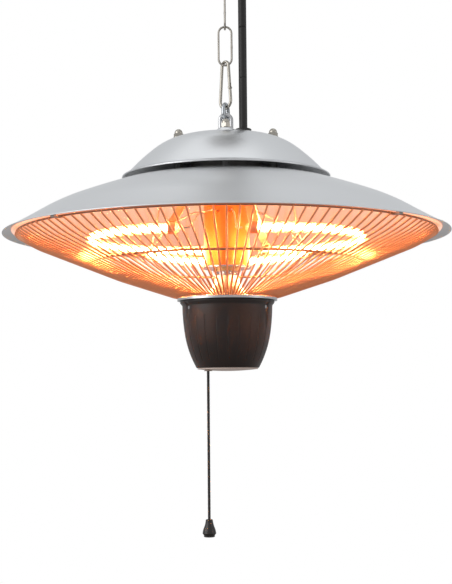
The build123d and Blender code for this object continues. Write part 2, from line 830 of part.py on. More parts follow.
def lamp_ends():
    """For each lamp, both ends of the lit arc and the direction in which the cold end leaves it."""
    ends = []
    for _, (x, y), radius, height, middle in lamp_layout():
        for side in (-1, 1):
            angle = middle + side * lamp_sweep / 2
            dx, dy = spot(radius, angle)
            away = (-side * math.sin(math.radians(angle)), side * math.cos(math.radians(angle)))
            ends.append(((x + dx, y + dy, height), (away[0], away[1], 0)))
    return ends


def along_end(end, distance):
    """A place on the line of a lamp's cold end."""
    (x, y, z), (dx, dy, _) = end
    return x + dx * distance, y + dy * distance, z


def lit_arc(section, layout):
    """A section carried round a lamp's arc."""
    _, (x, y), radius, height, middle = layout
    face = Plane((radius, 0, 0), x_dir=(1, 0, 0), z_dir=(0, -1, 0)) * section
    return Pos(x, y, height) * Rot(0, 0, middle - lamp_sweep / 2) * revolve(face, Axis.Z, lamp_sweep)


def lamps():
    """Quartz tubes with drawn-out stems, and the filament in each."""
    bore = lamp_radius - lamp_wall
    ends = lamp_ends()
    filaments = []
    for number, layout in enumerate(lamp_layout()):
        name = layout[0]
        glass = lit_arc(Circle(lamp_radius) - Circle(bore), layout)
        filament = lit_arc(Circle(filament_radius), layout)
        for end in ends[2 * number: 2 * number + 2]:
            start, wall_start = end[0], along_end(end, cold_end - lamp_end_wall)
            tip, stem = along_end(end, cold_end), along_end(end, cold_end + lamp_stem_length)
            tube = straight(start, wall_start, lamp_radius) - straight(start, wall_start, bore)
            glass += tube + straight(wall_start, tip, lamp_radius)
            glass += straight(tip, stem, lamp_stem_radius)
            glass -= straight(wall_start, stem, filament_tail_radius + running_gap)
            filament += straight(start, stem, filament_tail_radius)
        save(f"{name}_lamp", heater * glass)
        filaments.append(heater * filament)
    save("filaments", Compound(children=filaments))


def arm_feet():
    """Where the six holder arms are riveted under the reflector."""
    feet = []
    for end in lamp_ends():
        x, y, _ = along_end(end, cold_end / 2)
        feet.append(spot(arm_foot_circle, math.degrees(math.atan2(y, x))))
    return feet


def holder_arms():
    """Strips that hang from the reflector and clip round the lamps' cold ends."""
    foot_top = reflector_top - reflector_wall
    foot_z = foot_top - arm_thickness
    arms = []
    for end, (fx, fy) in zip(lamp_ends(), arm_feet()):
        cx, cy, cz = along_end(end, cold_end / 2)
        clip_top = cz + lamp_radius + clip_wall
        out = Vector(cx - fx, cy - fy, 0).normalized()
        side = Vector(-out.Y, out.X, 0)
        start = Vector(fx, fy, foot_z) + out * (arm_foot_radius - arm_thickness)
        run = Vector(cx, cy, clip_top) - start
        lean = Plane(start, x_dir=side, z_dir=run)
        reach = run.length
        strip = lean * Pos(0, 0, reach / 2) * Box(arm_width, arm_thickness, reach)
        foot = Pos(fx, fy, 0) * bar(arm_foot_radius, foot_z, foot_top)
        half = clip_width / 2
        clip_start = along_end(end, cold_end / 2 - half)
        clip_end = along_end(end, cold_end / 2 + half)
        clip = straight(clip_start, clip_end, lamp_radius + clip_wall)
        arm = strip + foot + clip
        arm -= straight(along_end(end, -half), along_end(end, cold_end + half), lamp_radius + seat_gap)
        arm -= Pos(fx, fy, 0) * bar(arm_foot_radius + arm_width, foot_top, foot_top + overrun)
        arm -= Pos(fx, fy, 0) * bar(rivet_radius + seat_gap, foot_z - overrun, foot_top + overrun)
        arms.append(heater * arm)
    save("lamp_arms", Compound(children=arms))


def rivet(low, high):
    """Rivet with a flat head on both sides of what it holds."""
    shank = bar(rivet_radius, low - rivet_head_height, high + rivet_head_height)
    heads = bar(rivet_head_radius, low - rivet_head_height, low)
    return shank + heads + bar(rivet_head_radius, high, high + rivet_head_height)


def rivets():
    """All rivets: shield to shade, shield to central tube, and arms to reflector."""
    shield_rivet = rivet(shade_top_height - shade_wall, shield_top)
    arm_rivet = rivet(reflector_top - reflector_wall - arm_thickness, reflector_top)
    placed = [
        turn * Pos(shield_rivet_circle, 0, 0) * shield_rivet for turn in around(shield_rivet_count)
    ]
    placed += [
        turn * Pos(tube_radius + tube_flange / 2, 0, 0) * shield_rivet
        for turn in around(tube_rivet_count, 180 / tube_rivet_count)
    ]
    placed += [Pos(x, y, 0) * arm_rivet for x, y in arm_feet()]
    save("rivets", Compound(children=[heater * piece for piece in placed]))


def lead_entries():
    """Where each lamp's lead wire goes into the central tube."""
    entries = []
    for end in lamp_ends():
        x, y, _ = along_end(end, cold_end + lamp_stem_length)
        angle = math.degrees(math.atan2(y, x))
        ex, ey = spot(tube_radius - tube_wall / 2, angle)
        entries.append((ex, ey, lead_entry_height))
    return entries


def lamp_leads():
    """Bare wires from the lamps' stems to the holes in the central tube."""
    leads = []
    for end, entry in zip(lamp_ends(), lead_entries()):
        tip = along_end(end, cold_end + lamp_stem_length)
        bend = along_end(end, cold_end + lamp_stem_length + lead_bend_radius)
        low = (
            (2 * bend[0] + entry[0]) / 3,
            (2 * bend[1] + entry[1]) / 3,
            (bend[2] + 2 * entry[2]) / 3,
        )
        near_x, near_y = spot(tube_radius + 2 * lead_bend_radius, math.degrees(math.atan2(entry[1], entry[0])))
        path = FilletPolyline(
            tip, bend, low, (near_x, near_y, lead_entry_height), entry, radius=lead_bend_radius / 2
        )
        leads.append(heater * rod(path, lead_radius))
    save("lamp_leads", Compound(children=leads))


def wire_corners():
    """Radius and height of a guard wire's middle line at its end and its four corners."""
    ring_radius = shade_radius - guard_ring_inset
    return [
        (ring_radius + guard_wire_reach, 0),
        (shade_radius - guard_shoulder_inset, -guard_shoulder_drop),
        (guard_knee_radius, -guard_knee_drop),
        (guard_foot_radius, -guard_foot_drop),
        (collar_radius - guard_wire_radius, collar_top + guard_wire_radius),
    ]


def ring_on_wires(radius, wire, corners):
    """Height of a ring that lies on the guard wires, on their run between two corners."""
    (r0, z0), (r1, z1) = corners
    slope = (z0 - z1) / (r0 - r1)
    stand_off = (guard_wire_radius + wire + running_gap) * math.hypot(1, slope)
    return z0 + (radius - r0) * slope + stand_off


def guard():
    """Radial wires, the two rings that carry them from above, and the clips that join it to the shade."""
    corners = wire_corners()
    path = FilletPolyline(
        *[(r, 0, z) for r, z in corners], radius=(guard_shoulder_bend, guard_knee_bend, guard_foot_bend)
    )
    wire = rod(path, guard_wire_radius)
    save("guard_wires", Compound(children=[heater * turn * wire for turn in around(guard_wire_count)]))

    ring_radius = shade_radius - guard_ring_inset
    outer_z = ring_on_wires(ring_radius, guard_ring_wire, corners[:2])
    middle_z = ring_on_wires(guard_mid_radius, guard_mid_wire, corners[1:3])
    outer_ring = heater * ring(ring_radius, guard_ring_wire, outer_z)
    middle_ring = heater * ring(guard_mid_radius, guard_mid_wire, middle_z)
    save("guard_rings", Compound(children=[outer_ring, middle_ring]))

    top = outer_z - guard_ring_wire - running_gap
    foot = top - clip_plate
    inner = ring_radius - clip_reach_in
    edge_r, edge_z = reflector_points()[-1]
    step = edge_r + clip_step_gap
    outer = shade_radius - clip_edge_inset
    section = Polyline(
        (inner, 0, foot), (outer, 0, foot), (outer, 0, edge_z / 2), (step, 0, edge_z + seat_gap),
        (step, 0, top), (inner, 0, top), close=True,
    )
    clip = extrude(make_face(section), clip_breadth / 2, both=True)
    clip -= spun(shade_points(), 0, shade_wall + seat_gap)
    turns = around(clip_count, 180 / clip_count)
    save("guard_clips", Compound(children=[heater * turn * clip for turn in turns]))


def cup_points():
    """Outline of the cup, from under its lip to its foot."""
    return [
        (cup_shoulder_radius, cup_top - 2 * cup_lip_height),
        (cup_belly_radius, -cup_belly_drop),
        (cup_foot_radius, -cup_drop),
    ]


def cup_radius_at(height):
    """Radius of the cup's outline at a height on its upper arc, along the chord."""
    (r0, z0), (r1, z1) = cup_points()[:2]
    return r0 + (r1 - r0) * (z0 - height) / (z0 - z1)


def cup():
    """Moulded switch housing: flared lip, tapered fluted wall, three bosses with screw channels."""
    points = cup_points()
    shell = spun(points, cup_start_lean, cup_wall)
    top_r, top_z = points[0]
    shell += turned(
        (top_r - cup_wall, top_z), (top_r, top_z), (cup_lip_radius, cup_top - cup_lip_height),
        (cup_lip_radius, cup_top), (collar_bore, cup_top), (top_r - cup_wall, cup_top - cup_lip_height),
    )
    skin = spun_face(points, cup_start_lean, flute_depth)
    groove = revolve(skin, Axis.Z, flute_width_angle)
    reach = cup_lip_radius + overrun
    keep = Pos(0, 0, -(flute_top_drop + flute_bottom_drop) / 2) * Cylinder(
        reach, flute_bottom_drop - flute_top_drop
    )
    groove = groove & keep
    for turn in around(flute_count, cup_screw_first_angle):
        shell -= turn * groove
    shell_inside = cup_radius_at(-cup_screw_drop) - cup_wall
    for turn in around(cup_screw_count, cup_screw_first_angle):
        place = turn * Pos(shell_inside - cup_boss_depth / 2, 0, -cup_screw_drop)
        shell += place * Box(cup_boss_depth + cup_wall, cup_boss_width, cup_boss_height)
    head_seat = cup_radius_at(-cup_screw_drop) - cup_channel_depth
    channel_top = -cup_screw_drop + cup_channel_radius
    for turn in around(cup_screw_count, cup_screw_first_angle):
        channel = Pos(head_seat + cup_channel_radius, 0, 0) * bar(cup_channel_radius, -cup_drop, channel_top)
        shell -= turn * channel
        hole = Pos(head_seat, 0, -cup_screw_drop) * Rot(0, 90, 0)
        shell -= turn * hole * Cylinder(cup_screw_radius + seat_gap, 4 * cup_boss_depth)
        recess = hole * Pos(0, 0, cup_channel_radius) * Cylinder(
            cup_screw_head + seat_gap, 2 * cup_channel_radius
        )
        shell -= turn * recess
    save("cup", heater * shell)

    screws = []
    for turn in around(cup_screw_count, cup_screw_first_angle):
        place = Rot(0, 90, 0)
        shank = Pos(head_seat - cup_screw_length / 2, 0, -cup_screw_drop) * place
        head = Pos(head_seat + cup_screw_head_height / 2, 0, -cup_screw_drop) * place
        screw = shank * Cylinder(cup_screw_radius, cup_screw_length)
        screw += head * Cylinder(cup_screw_head, cup_screw_head_height)
        screws.append(heater * turn * screw)
    save("cup_screws", Compound(children=screws))


def cup_inserts():
    """Collar ring, the cup's top plate and its pale domed bottom plate."""
    save("collar_ring", heater * sleeve(collar_radius, collar_bore, top_plate_bottom, collar_top))
    plate = bar(collar_bore - seat_gap, top_plate_bottom, top_plate_top)
    plate -= bar(neck_radius + seat_gap, top_plate_bottom - overrun, top_plate_top + overrun)
    save("cup_top_plate", heater * plate)

    edge = cup_foot_radius - bottom_plate_edge
    _, leans = arcs_through(cup_points(), cup_start_lean)
    foot_rise = bottom_plate_edge * math.tan(math.radians(-leans[-1] - 90))
    rim_height = -cup_drop + foot_rise - bottom_plate_wall - seat_gap
    points = [(0, rim_height - bottom_plate_sag), (edge, rim_height)]
    dish = spun(points, 0, -bottom_plate_wall)
    dish -= Pos(pull_cord_x, pull_cord_y, 0) * bar(
        bushing_radius + seat_gap, -cup_drop - 2 * overrun, -cup_drop + 2 * overrun
    )
    save("cup_bottom_plate", heater * dish)


def pull_cord_pieces():
    """Bushing, inner cord with its bead and spring, outer cord and knob."""
    place = heater * Pos(pull_cord_x, pull_cord_y, 0)
    bushing = bar(bushing_radius, -bushing_flange_top, -bushing_seat)
    bushing += bar(bushing_flange, swing_z, -bushing_flange_top)
    bushing -= bar(bushing_bore, swing_z - overrun, -bushing_seat + overrun)
    save("cord_bushing", place * bushing)

    inner_low = swing_z + pull_cord_radius + running_gap
    inner_high = -switch_axle_drop + pull_travel
    inner = bar(pull_cord_radius, inner_low, inner_high)
    save("pull_cord_inner", place * (inner + bar(bead_radius, -bead_top - bead_height, -bead_top)))

    spring_high = -bead_top - bead_height - spring_wire_radius
    spring_low = -bushing_seat + spring_wire_radius
    lift = spring_high - spring_low
    coil = Helix(lift / spring_turns, lift, spring_radius)
    spring = rod(Pos(0, 0, spring_low) * coil, spring_wire_radius)
    save("return_spring", place * spring)
    print("spring gap between turns", round(lift / spring_turns - 2 * spring_wire_radius, 2))

    cord = bar(pull_cord_radius, -knob_top - knob_grip, swing_z)
    cord += Pos(0, 0, swing_z) * Sphere(pull_cord_radius)
    save("pull_cord", place * cord)
    print("pull cord straight, length", round(knob_top + knob_grip + swing_z, 1))
    knob = turned(
        (0, -knob_bottom), (knob_bottom_radius, -knob_bottom), (knob_widest_radius, -knob_shoulder),
        (knob_top_radius, -knob_top), (0, -knob_top),
    )
    knob -= bar(pull_cord_radius + seat_gap, -knob_top - knob_grip, -knob_top + overrun)
    save("pull_knob", place * knob)


def switch_box(grow, top, bottom):
    """Block over the switch case's footprint, grown or shrunk by a wall."""
    width = switch_case_left - switch_case_right + 2 * grow
    depth = switch_case_front + switch_case_back + 2 * grow
    x = -(switch_case_left + switch_case_right) / 2
    y = (switch_case_back - switch_case_front) / 2
    return Pos(x, y, (top + bottom) / 2) * Box(width, depth, top - bottom)


def pull_switch():
    """Switch case and cover, axle, the wheel that the cord turns, the selector drum and contacts."""
    top, bottom = -switch_case_top, -switch_case_bottom
    axle_x = pull_cord_x + wheel_cord_radius
    level = Pos(axle_x, 0, -switch_axle_drop) * Rot(90, 0, 0)
    case = switch_box(0, top, bottom) - switch_box(-switch_wall, top + overrun, bottom + switch_wall)
    case -= Pos(pull_cord_x, pull_cord_y, 0) * bar(bushing_bore, bottom - overrun, bottom + overrun)
    back, front = switch_case_back, -switch_case_front
    axle = Pos(axle_x, (back + front) / 2, -switch_axle_drop) * Rot(90, 0, 0)
    case += axle * Cylinder(switch_axle_radius, back - front)
    save("switch_case", heater * case)
    mid_x = -(switch_case_left + switch_case_right) / 2
    cover = switch_box(0, top + switch_cover, top)
    for side in (-1, 1):
        post = bar(post_radius, top + switch_cover, top_plate_bottom)
        cover += Pos(mid_x, side * post_spread, 0) * post
    save("switch_cover", heater * cover)

    wheel = Cylinder(wheel_flange_radius, wheel_width)
    groove_floor = wheel_cord_radius - pull_cord_radius - running_gap
    wheel -= Cylinder(wheel_flange_radius + overrun, wheel_groove) - Cylinder(groove_floor, wheel_groove)
    wheel -= Cylinder(switch_axle_radius + running_gap, 2 * wheel_width)
    save("pull_wheel", heater * Pos(0, pull_cord_y, 0) * level * wheel)

    drum_y = pull_cord_y + wheel_width / 2 + drum_gap + drum_length / 2
    drum = Cylinder(drum_radius, drum_length)
    for turn in around(drum_notches):
        drum -= turn * Pos(drum_radius, 0, drum_length / 4) * Cylinder(drum_notch_radius, drum_length / 2)
    drum -= Cylinder(switch_axle_radius + running_gap, 2 * drum_length)
    save("selector_drum", heater * Pos(0, drum_y, 0) * level * drum)

    springs = []
    strip_x = axle_x - drum_radius - contact_gap - contact_thickness / 2
    strip_low = bottom + switch_wall
    for number in range(contact_count):
        y = drum_y + (number - (contact_count - 1) / 2) * (contact_width - contact_gap * 2)
        strip = Pos(strip_x, y, (strip_low + top) / 2)
        springs.append(
            heater * strip * Box(contact_thickness, contact_width - 4 * contact_gap, top - strip_low)
        )
    save("contact_springs", Compound(children=springs))

    lead_x = (neck_radius - neck_wall) / 3
    neck_foot = top_plate_bottom - neck_tail
    leads = []
    for side in (-1, 1):
        path = FilletPolyline(
            (mid_x + switch_wall, side * post_spread / 2, top + switch_cover),
            (mid_x + switch_wall, side * post_spread / 2, neck_foot - 4 * supply_lead_radius),
            (-lead_x, side * lead_x, neck_foot - 3 * supply_lead_radius),
            (-lead_x, side * lead_x, neck_top),
            radius=2 * supply_lead_radius,
        )
        leads.append(heater * rod(path, supply_lead_radius))
    return leads


ceiling_pieces()
power_cord()
hanging_pieces()
cap()
tie_pieces()
crown_gland()
shade()
heat_shield()
reflector()
leads_above = junction_box()
column()
lamps()
holder_arms()
rivets()
lamp_leads()
guard()
cup()
cup_inserts()
pull_cord_pieces()
leads_below = pull_switch()
save("inner_leads", Compound(children=leads_above + leads_below))
print("heights: rim", round(rim_z, 3), "chain pivot", hook_bottom + hook_wire / 2)
print("snap pivot", round(lower_link_bottom + chain_wire / 2, 3), "heater pivot", round(ubolt_top - ubolt_wire / 2, 3))
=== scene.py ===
import math

import bpy
import numpy as np
from mathutils import Matrix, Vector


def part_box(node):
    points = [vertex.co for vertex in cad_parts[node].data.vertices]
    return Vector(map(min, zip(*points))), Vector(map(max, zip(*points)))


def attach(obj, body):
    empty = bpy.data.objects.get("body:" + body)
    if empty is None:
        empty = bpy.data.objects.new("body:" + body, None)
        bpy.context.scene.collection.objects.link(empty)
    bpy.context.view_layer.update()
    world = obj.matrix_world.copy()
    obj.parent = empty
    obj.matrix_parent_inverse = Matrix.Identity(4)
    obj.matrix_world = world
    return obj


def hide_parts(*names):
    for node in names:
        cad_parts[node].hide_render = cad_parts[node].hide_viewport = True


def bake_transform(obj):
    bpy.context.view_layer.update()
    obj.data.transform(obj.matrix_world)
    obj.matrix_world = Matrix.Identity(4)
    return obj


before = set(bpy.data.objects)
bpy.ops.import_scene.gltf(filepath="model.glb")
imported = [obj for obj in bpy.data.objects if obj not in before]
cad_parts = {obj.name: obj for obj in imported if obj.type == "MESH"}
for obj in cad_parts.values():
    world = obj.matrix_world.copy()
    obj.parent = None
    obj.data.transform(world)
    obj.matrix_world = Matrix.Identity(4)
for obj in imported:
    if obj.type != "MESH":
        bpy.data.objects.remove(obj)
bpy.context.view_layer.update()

# Room and camera: a white studio, with a soft box at the left, one overhead and a weak one at the right.
# The camera stands a little lower than the cup's foot, looks slightly up and is rolled by half a degree,
# because the heater hangs that much askew in the photograph.
camera_place = (-0.00115, -1.191, -0.41805)
camera_rise = 4.55
camera_roll = 0.5

scene = bpy.context.scene
scene.view_settings.view_transform = "Standard"
scene.view_settings.look = "None"

camera_data = bpy.data.cameras.new("camera")
camera_data.lens = 77.05
camera_data.sensor_width = 36.0
camera_data.clip_start = 0.05
camera = bpy.data.objects.new("camera", camera_data)
camera.location = camera_place
upward = Matrix.Rotation(math.radians(90 + camera_rise), 3, "X")
camera.rotation_euler = (upward @ Matrix.Rotation(math.radians(-camera_roll), 3, "Z")).to_euler()
scene.collection.objects.link(camera)
scene.camera = camera


def studio_world(floor, wall, ceiling, strength):
    """World: white to the camera, and to everything else a room shaded from floor over wall to ceiling.

    The direction's height, from -1 to 1, is halved and lifted by a half, and picks the shade.
    """
    world = bpy.data.worlds.new("studio")
    world.use_nodes = True
    nodes, links = world.node_tree.nodes, world.node_tree.links
    nodes.clear()
    out = nodes.new("ShaderNodeOutputWorld")
    mix = nodes.new("ShaderNodeMixShader")
    seen = nodes.new("ShaderNodeBackground")
    seen.inputs["Color"].default_value = (1, 1, 1, 1)
    room = nodes.new("ShaderNodeBackground")
    room.inputs["Strength"].default_value = strength
    path = nodes.new("ShaderNodeLightPath")
    place = nodes.new("ShaderNodeTexCoord")
    split = nodes.new("ShaderNodeSeparateXYZ")
    ramp = nodes.new("ShaderNodeValToRGB")
    stops = ramp.color_ramp.elements
    stops[0].position, stops[0].color = 0.0, (*floor, 1)
    stops[1].position, stops[1].color = 1.0, (*ceiling, 1)
    stops.new(0.5).color = (*wall, 1)
    lift = nodes.new("ShaderNodeMath")
    lift.operation = "MULTIPLY_ADD"
    lift.inputs[1].default_value = 0.5
    lift.inputs[2].default_value = 0.5
    links.new(place.outputs["Generated"], split.inputs[0])
    links.new(split.outputs["Z"], lift.inputs[0])
    links.new(lift.outputs[0], ramp.inputs["Fac"])
    links.new(ramp.outputs["Color"], room.inputs["Color"])
    links.new(path.outputs["Is Camera Ray"], mix.inputs["Fac"])
    links.new(room.outputs[0], mix.inputs[1])
    links.new(seen.outputs[0], mix.inputs[2])
    links.new(mix.outputs[0], out.inputs["Surface"])
    scene.world = world


def soft_box(name, place, target, width, height, power):
    """Rectangular soft light at a place, turned towards a target."""
    data = bpy.data.lights.new(name, "AREA")
    data.shape = "RECTANGLE"
    data.size, data.size_y = width, height
    data.energy = power
    light = bpy.data.objects.new(name, data)
    away = np.array(place, float) - np.array(target, float)
    flat = math.hypot(away[0], away[1])
    light.location = place
    light.rotation_euler = (math.atan2(flat, away[2]), 0, math.atan2(away[1], away[0]) + math.pi / 2)
    light.visible_camera = False
    scene.collection.objects.link(light)


studio_world(floor=(0.24, 0.21, 0.19), wall=(0.66, 0.67, 0.68), ceiling=(0.86, 0.88, 0.90), strength=0.8)
soft_box("left_box", (-1.8, -0.9, 0.35), (0, 0, -0.22), width=1.8, height=1.8, power=20)
soft_box("top_box", (-0.4, -0.3, 1.9), (0, 0, -0.2), width=3.0, height=3.0, power=7)
soft_box("right_box", (1.7, -0.6, 0.0), (0, 0, -0.25), width=0.6, height=1.0, power=2)


# Shade: one sheet of aluminium spun to a shallow bell with a plain rounded edge, brushed in fine circles by
# the spinning tool. It is riveted to the heat shield at its opening and carries the reflector inside.
# Its rim is the level from which this script measures the heights of the pieces below and above it.
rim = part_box("shade")[0][2]
shade_wall = 0.001
shade_top = 0.0523
shade_opening = 0.0735
shade_turns = 288
aluminium = (0.80, 0.81, 0.82)


def arc_line(points, lean, steps):
    """Points on arcs that run smoothly into each other through the given (r, z) points.

    lean is the direction at the first point, in degrees above the outward axis. An arc that leaves its
    chord by an angle a meets the next point at a on the other side, so it turns by 2a in all.
    """
    line = []
    angle = math.radians(lean)
    for (r0, z0), (r1, z1) in zip(points, points[1:]):
        chord = math.atan2(z1 - z0, r1 - r0)
        turn = 2 * (chord - angle)
        length = math.hypot(r1 - r0, z1 - z0)
        share = np.linspace(0, 1, steps, endpoint=False)
        if abs(turn) < 1e-5:
            line.append(np.column_stack((r0 + share * (r1 - r0), z0 + share * (z1 - z0))))
        else:
            radius = length / (2 * math.sin(turn / 2))
            heading = angle + turn * share
            out = r0 + radius * (np.sin(heading) - math.sin(angle))
            up = z0 - radius * (np.cos(heading) - math.cos(angle))
            line.append(np.column_stack((out, up)))
        angle += turn
    line.append(np.array([points[-1]], float))
    return np.vstack(line)


def circle_line(center, radius, start, end, steps):
    """Points on a circle in the (r, z) half plane, from one angle to another in degrees."""
    angle = np.radians(np.linspace(start, end, steps))
    return np.column_stack((center[0] + radius * np.cos(angle), center[1] + radius * np.sin(angle)))


def offset_line(line, wall):
    """The (r, z) line moved by wall square to itself, to the right of its direction."""
    along = np.gradient(line, axis=0)
    along /= np.linalg.norm(along, axis=1)[:, None]
    return line + wall * np.column_stack((along[:, 1], -along[:, 0]))


def spun_points(line, turns):
    """The (r, z) line turned about the vertical axis in equal steps: rows along the line, columns round."""
    angle = np.arange(turns) * (2 * math.pi / turns)
    radius, height = line[:, :1], np.repeat(line[:, 1:], turns, axis=1)
    return np.stack((radius * np.cos(angle), radius * np.sin(angle), height + 0 * angle), axis=-1)


def quads_between(index):
    """Four-sided faces between the neighbours of a grid of vertex numbers."""
    corners = (index[:-1, :-1], index[:-1, 1:], index[1:, 1:], index[1:, :-1])
    return np.stack(corners, axis=-1).reshape(-1, 4).tolist()


def mesh_piece(name, points, faces, smooth):
    """Object with a mesh of the given points and faces; smooth says for each face if it is shaded smooth."""
    mesh = bpy.data.meshes.new(name)
    mesh.from_pydata(points.reshape(-1, 3).tolist(), [], faces)
    mesh.polygons.foreach_set("use_smooth", smooth)
    piece = bpy.data.objects.new(name, mesh)
    scene.collection.objects.link(piece)
    return piece


def grid_mesh(name, points, close_rows=False, close_columns=False, caps=False):
    """Mesh of a grid of points, rows x columns x 3, with quads between neighbours.

    close_rows joins the last row to the first, close_columns the last column to the first, and caps puts
    a flat many-sided face on the first and the last row.
    """
    rows, columns = points.shape[:2]
    index = np.arange(rows * columns).reshape(rows, columns)
    down = np.vstack((index, index[:1])) if close_rows else index
    grid = np.column_stack((down, down[:, :1])) if close_columns else down
    faces = quads_between(grid)
    if caps:
        faces += [index[0][::-1].tolist(), index[-1].tolist()]
    return mesh_piece(name, points, faces, [len(face) == 4 for face in faces])


def node_material(name, constants):
    """New material with constants on its shader's sockets, its principled shader and its node tree."""
    material = bpy.data.materials.new(name)
    material.use_nodes = True
    tree = material.node_tree
    shader = tree.nodes["Principled BSDF"]
    for socket, value in constants.items():
        shader.inputs[socket].default_value = value
    return material, shader, tree


def axis_distance(tree):
    """Output that gives the distance from the vertical axis: the length of the place with its height cut."""
    place = tree.nodes.new("ShaderNodeTexCoord")
    flat = tree.nodes.new("ShaderNodeVectorMath")
    flat.operation = "MULTIPLY"
    flat.inputs[1].default_value = (1, 1, 0)
    reach = tree.nodes.new("ShaderNodeVectorMath")
    reach.operation = "LENGTH"
    tree.links.new(place.outputs["Object"], flat.inputs[0])
    tree.links.new(flat.outputs[0], reach.inputs[0])
    return reach.outputs["Value"]


def spread(tree, share, low, high):
    """Output that leads the share, from 0 to 1, over the span from low to high."""
    span = tree.nodes.new("ShaderNodeMapRange")
    span.inputs["To Min"].default_value = low
    span.inputs["To Max"].default_value = high
    tree.links.new(share, span.inputs["Value"])
    return span.outputs["Result"]


def add_bump(tree, shader, height, strength, distance):
    """Bump of the given height output on the shader."""
    bump = tree.nodes.new("ShaderNodeBump")
    bump.inputs["Strength"].default_value = strength
    bump.inputs["Distance"].default_value = distance
    tree.links.new(height, bump.inputs["Height"])
    tree.links.new(bump.outputs["Normal"], shader.inputs["Normal"])


def spun_aluminium(name, color, roughness, grain):
    """Aluminium brushed in circles about the vertical axis.

    The distance from the axis drives a fine noise, so every ring has its own roughness and height, and the
    anisotropic highlight lies across the rings.
    """
    material, shader, tree = node_material(
        name, {"Metallic": 1.0, "Base Color": (*color, 1), "Anisotropic": 0.55}
    )
    rings = tree.nodes.new("ShaderNodeTexNoise")
    rings.noise_dimensions = "1D"
    rings.inputs["Scale"].default_value = 900.0
    rings.inputs["Detail"].default_value = 4.0
    tangent = tree.nodes.new("ShaderNodeTangent")
    tangent.direction_type = "RADIAL"
    tangent.axis = "Z"
    tree.links.new(axis_distance(tree), rings.inputs["W"])
    tree.links.new(
        spread(tree, rings.outputs["Fac"], roughness - grain, roughness + grain), shader.inputs["Roughness"]
    )
    add_bump(tree, shader, rings.outputs["Fac"], strength=0.12, distance=0.0002)
    tree.links.new(tangent.outputs[0], shader.inputs["Tangent"])
    return material


shade_line = arc_line(
    [
        (0.080, shade_top), (0.110, 0.0475), (0.150, 0.0334),
        (0.180, 0.0188), (0.204, 0.0049), (0.2121, 0.00106),
    ],
    lean=0, steps=14,
)
shade_outside = np.vstack(([(shade_opening, shade_top), (0.0768, shade_top)], shade_line))
shade_inside = offset_line(shade_outside, shade_wall)[::-1]
shade_edge = circle_line((0.2120, 0.00057), shade_wall / 2, 79, -101, 9)[1:-1]
shade_points = spun_points(np.vstack((shade_outside, shade_edge, shade_inside)) + (0, rim), shade_turns)
shade = grid_mesh("shade_skin", shade_points, close_rows=True, close_columns=True)
shade.data.materials.append(spun_aluminium("brushed_shade", aluminium, roughness=0.34, grain=0.05))
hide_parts("shade")
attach(shade, "heater")


# Upper cap: a smaller spun dome of the same aluminium with a hem turned in at its rim. Four spots are pressed
# flat for the acorn nuts that hold it on its studs, and a fifth for the cord's gland.
cap_wall = 0.0012
cap_turns = 240
stud_circle = 0.0456
nut_spot_radius, nut_spot_level = 0.0062, 0.0956
gland_x, gland_spot_radius, gland_spot_level = 0.0169, 0.0090, 0.0993


def ease(share):
    """Smooth step from 0 to 1: 3 t^2 - 2 t^3 of the share t, held within its ends."""
    t = np.clip(share, 0, 1)
    return t * t * (3 - 2 * t)


def pressed_dome(line, turns, spots):
    """Turned line whose height is drawn to a flat level round each spot (x, y, radius, level).

    The pull eases off from the spot's radius to 1.35 times that.
    """
    points = spun_points(line, turns)
    for x, y, radius, level in spots:
        distance = np.hypot(points[..., 0] - x, points[..., 1] - y)
        share = ease((radius * 1.35 - distance) / (radius * 0.35))
        points[..., 2] += share * (level - points[..., 2])
    return points


cap_line = arc_line(
    [(0.0004, 0.0995), (stud_circle, 0.0943), (0.0700, 0.0826), (0.0950, 0.0590), (0.1001, 0.0565)],
    lean=0, steps=26,
)
cap_outside = cap_line + (0, rim)
cap_inside = offset_line(cap_line, cap_wall)[::-1] + (0, rim)
cap_inside[:, 0] = np.maximum(cap_inside[:, 0], cap_line[0, 0])
studs = [(stud_circle * math.cos(a), stud_circle * math.sin(a)) for a in np.arange(4) * math.pi / 2]
outside_spots = [(x, y, nut_spot_radius, rim + nut_spot_level) for x, y in studs]
outside_spots.append((gland_x, 0, gland_spot_radius, rim + gland_spot_level))
inside_spots = [(x, y, radius, level - cap_wall) for x, y, radius, level in outside_spots]
hem = np.array([(0.1000, 0.0560), (0.0975, 0.0563), (0.0972, 0.0573), (0.0982, 0.0576)]) + (0, rim)
cap_points = np.concatenate(
    (
        pressed_dome(cap_outside, cap_turns, outside_spots),
        spun_points(hem, cap_turns),
        pressed_dome(cap_inside, cap_turns, inside_spots),
    )
)
cap = grid_mesh("cap_skin", cap_points, close_rows=True, close_columns=True)
cap.data.materials.append(spun_aluminium("brushed_cap", aluminium, roughness=0.30, grain=0.05))
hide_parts("cap")
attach(cap, "heater")


# Reflector: polished aluminium sheet behind the lamps, held by the studs and closed up to the shade's skin a
# little inside its edge. It throws the lamps' glow down and shows it as soft streaks.
reflector_wall = 0.0008
reflector_level = 0.0428
reflector_turns = 240


def place_noise(tree, scale, detail=2.0):
    """Output of a noise, from 0 to 1, that follows the piece's own coordinates."""
    place = tree.nodes.new("ShaderNodeTexCoord")
    noise = tree.nodes.new("ShaderNodeTexNoise")
    noise.inputs["Scale"].default_value = scale
    noise.inputs["Detail"].default_value = detail
    tree.links.new(place.outputs["Object"], noise.inputs["Vector"])
    return noise.outputs["Fac"]


def two_colors(tree, share, first, last):
    """Output that leads the share, from 0 to 1, from one colour to another."""
    ramp = tree.nodes.new("ShaderNodeValToRGB")
    ramp.color_ramp.elements[0].color = (*first, 1)
    ramp.color_ramp.elements[1].color = (*last, 1)
    tree.links.new(share, ramp.inputs["Fac"])
    return ramp.outputs["Color"]


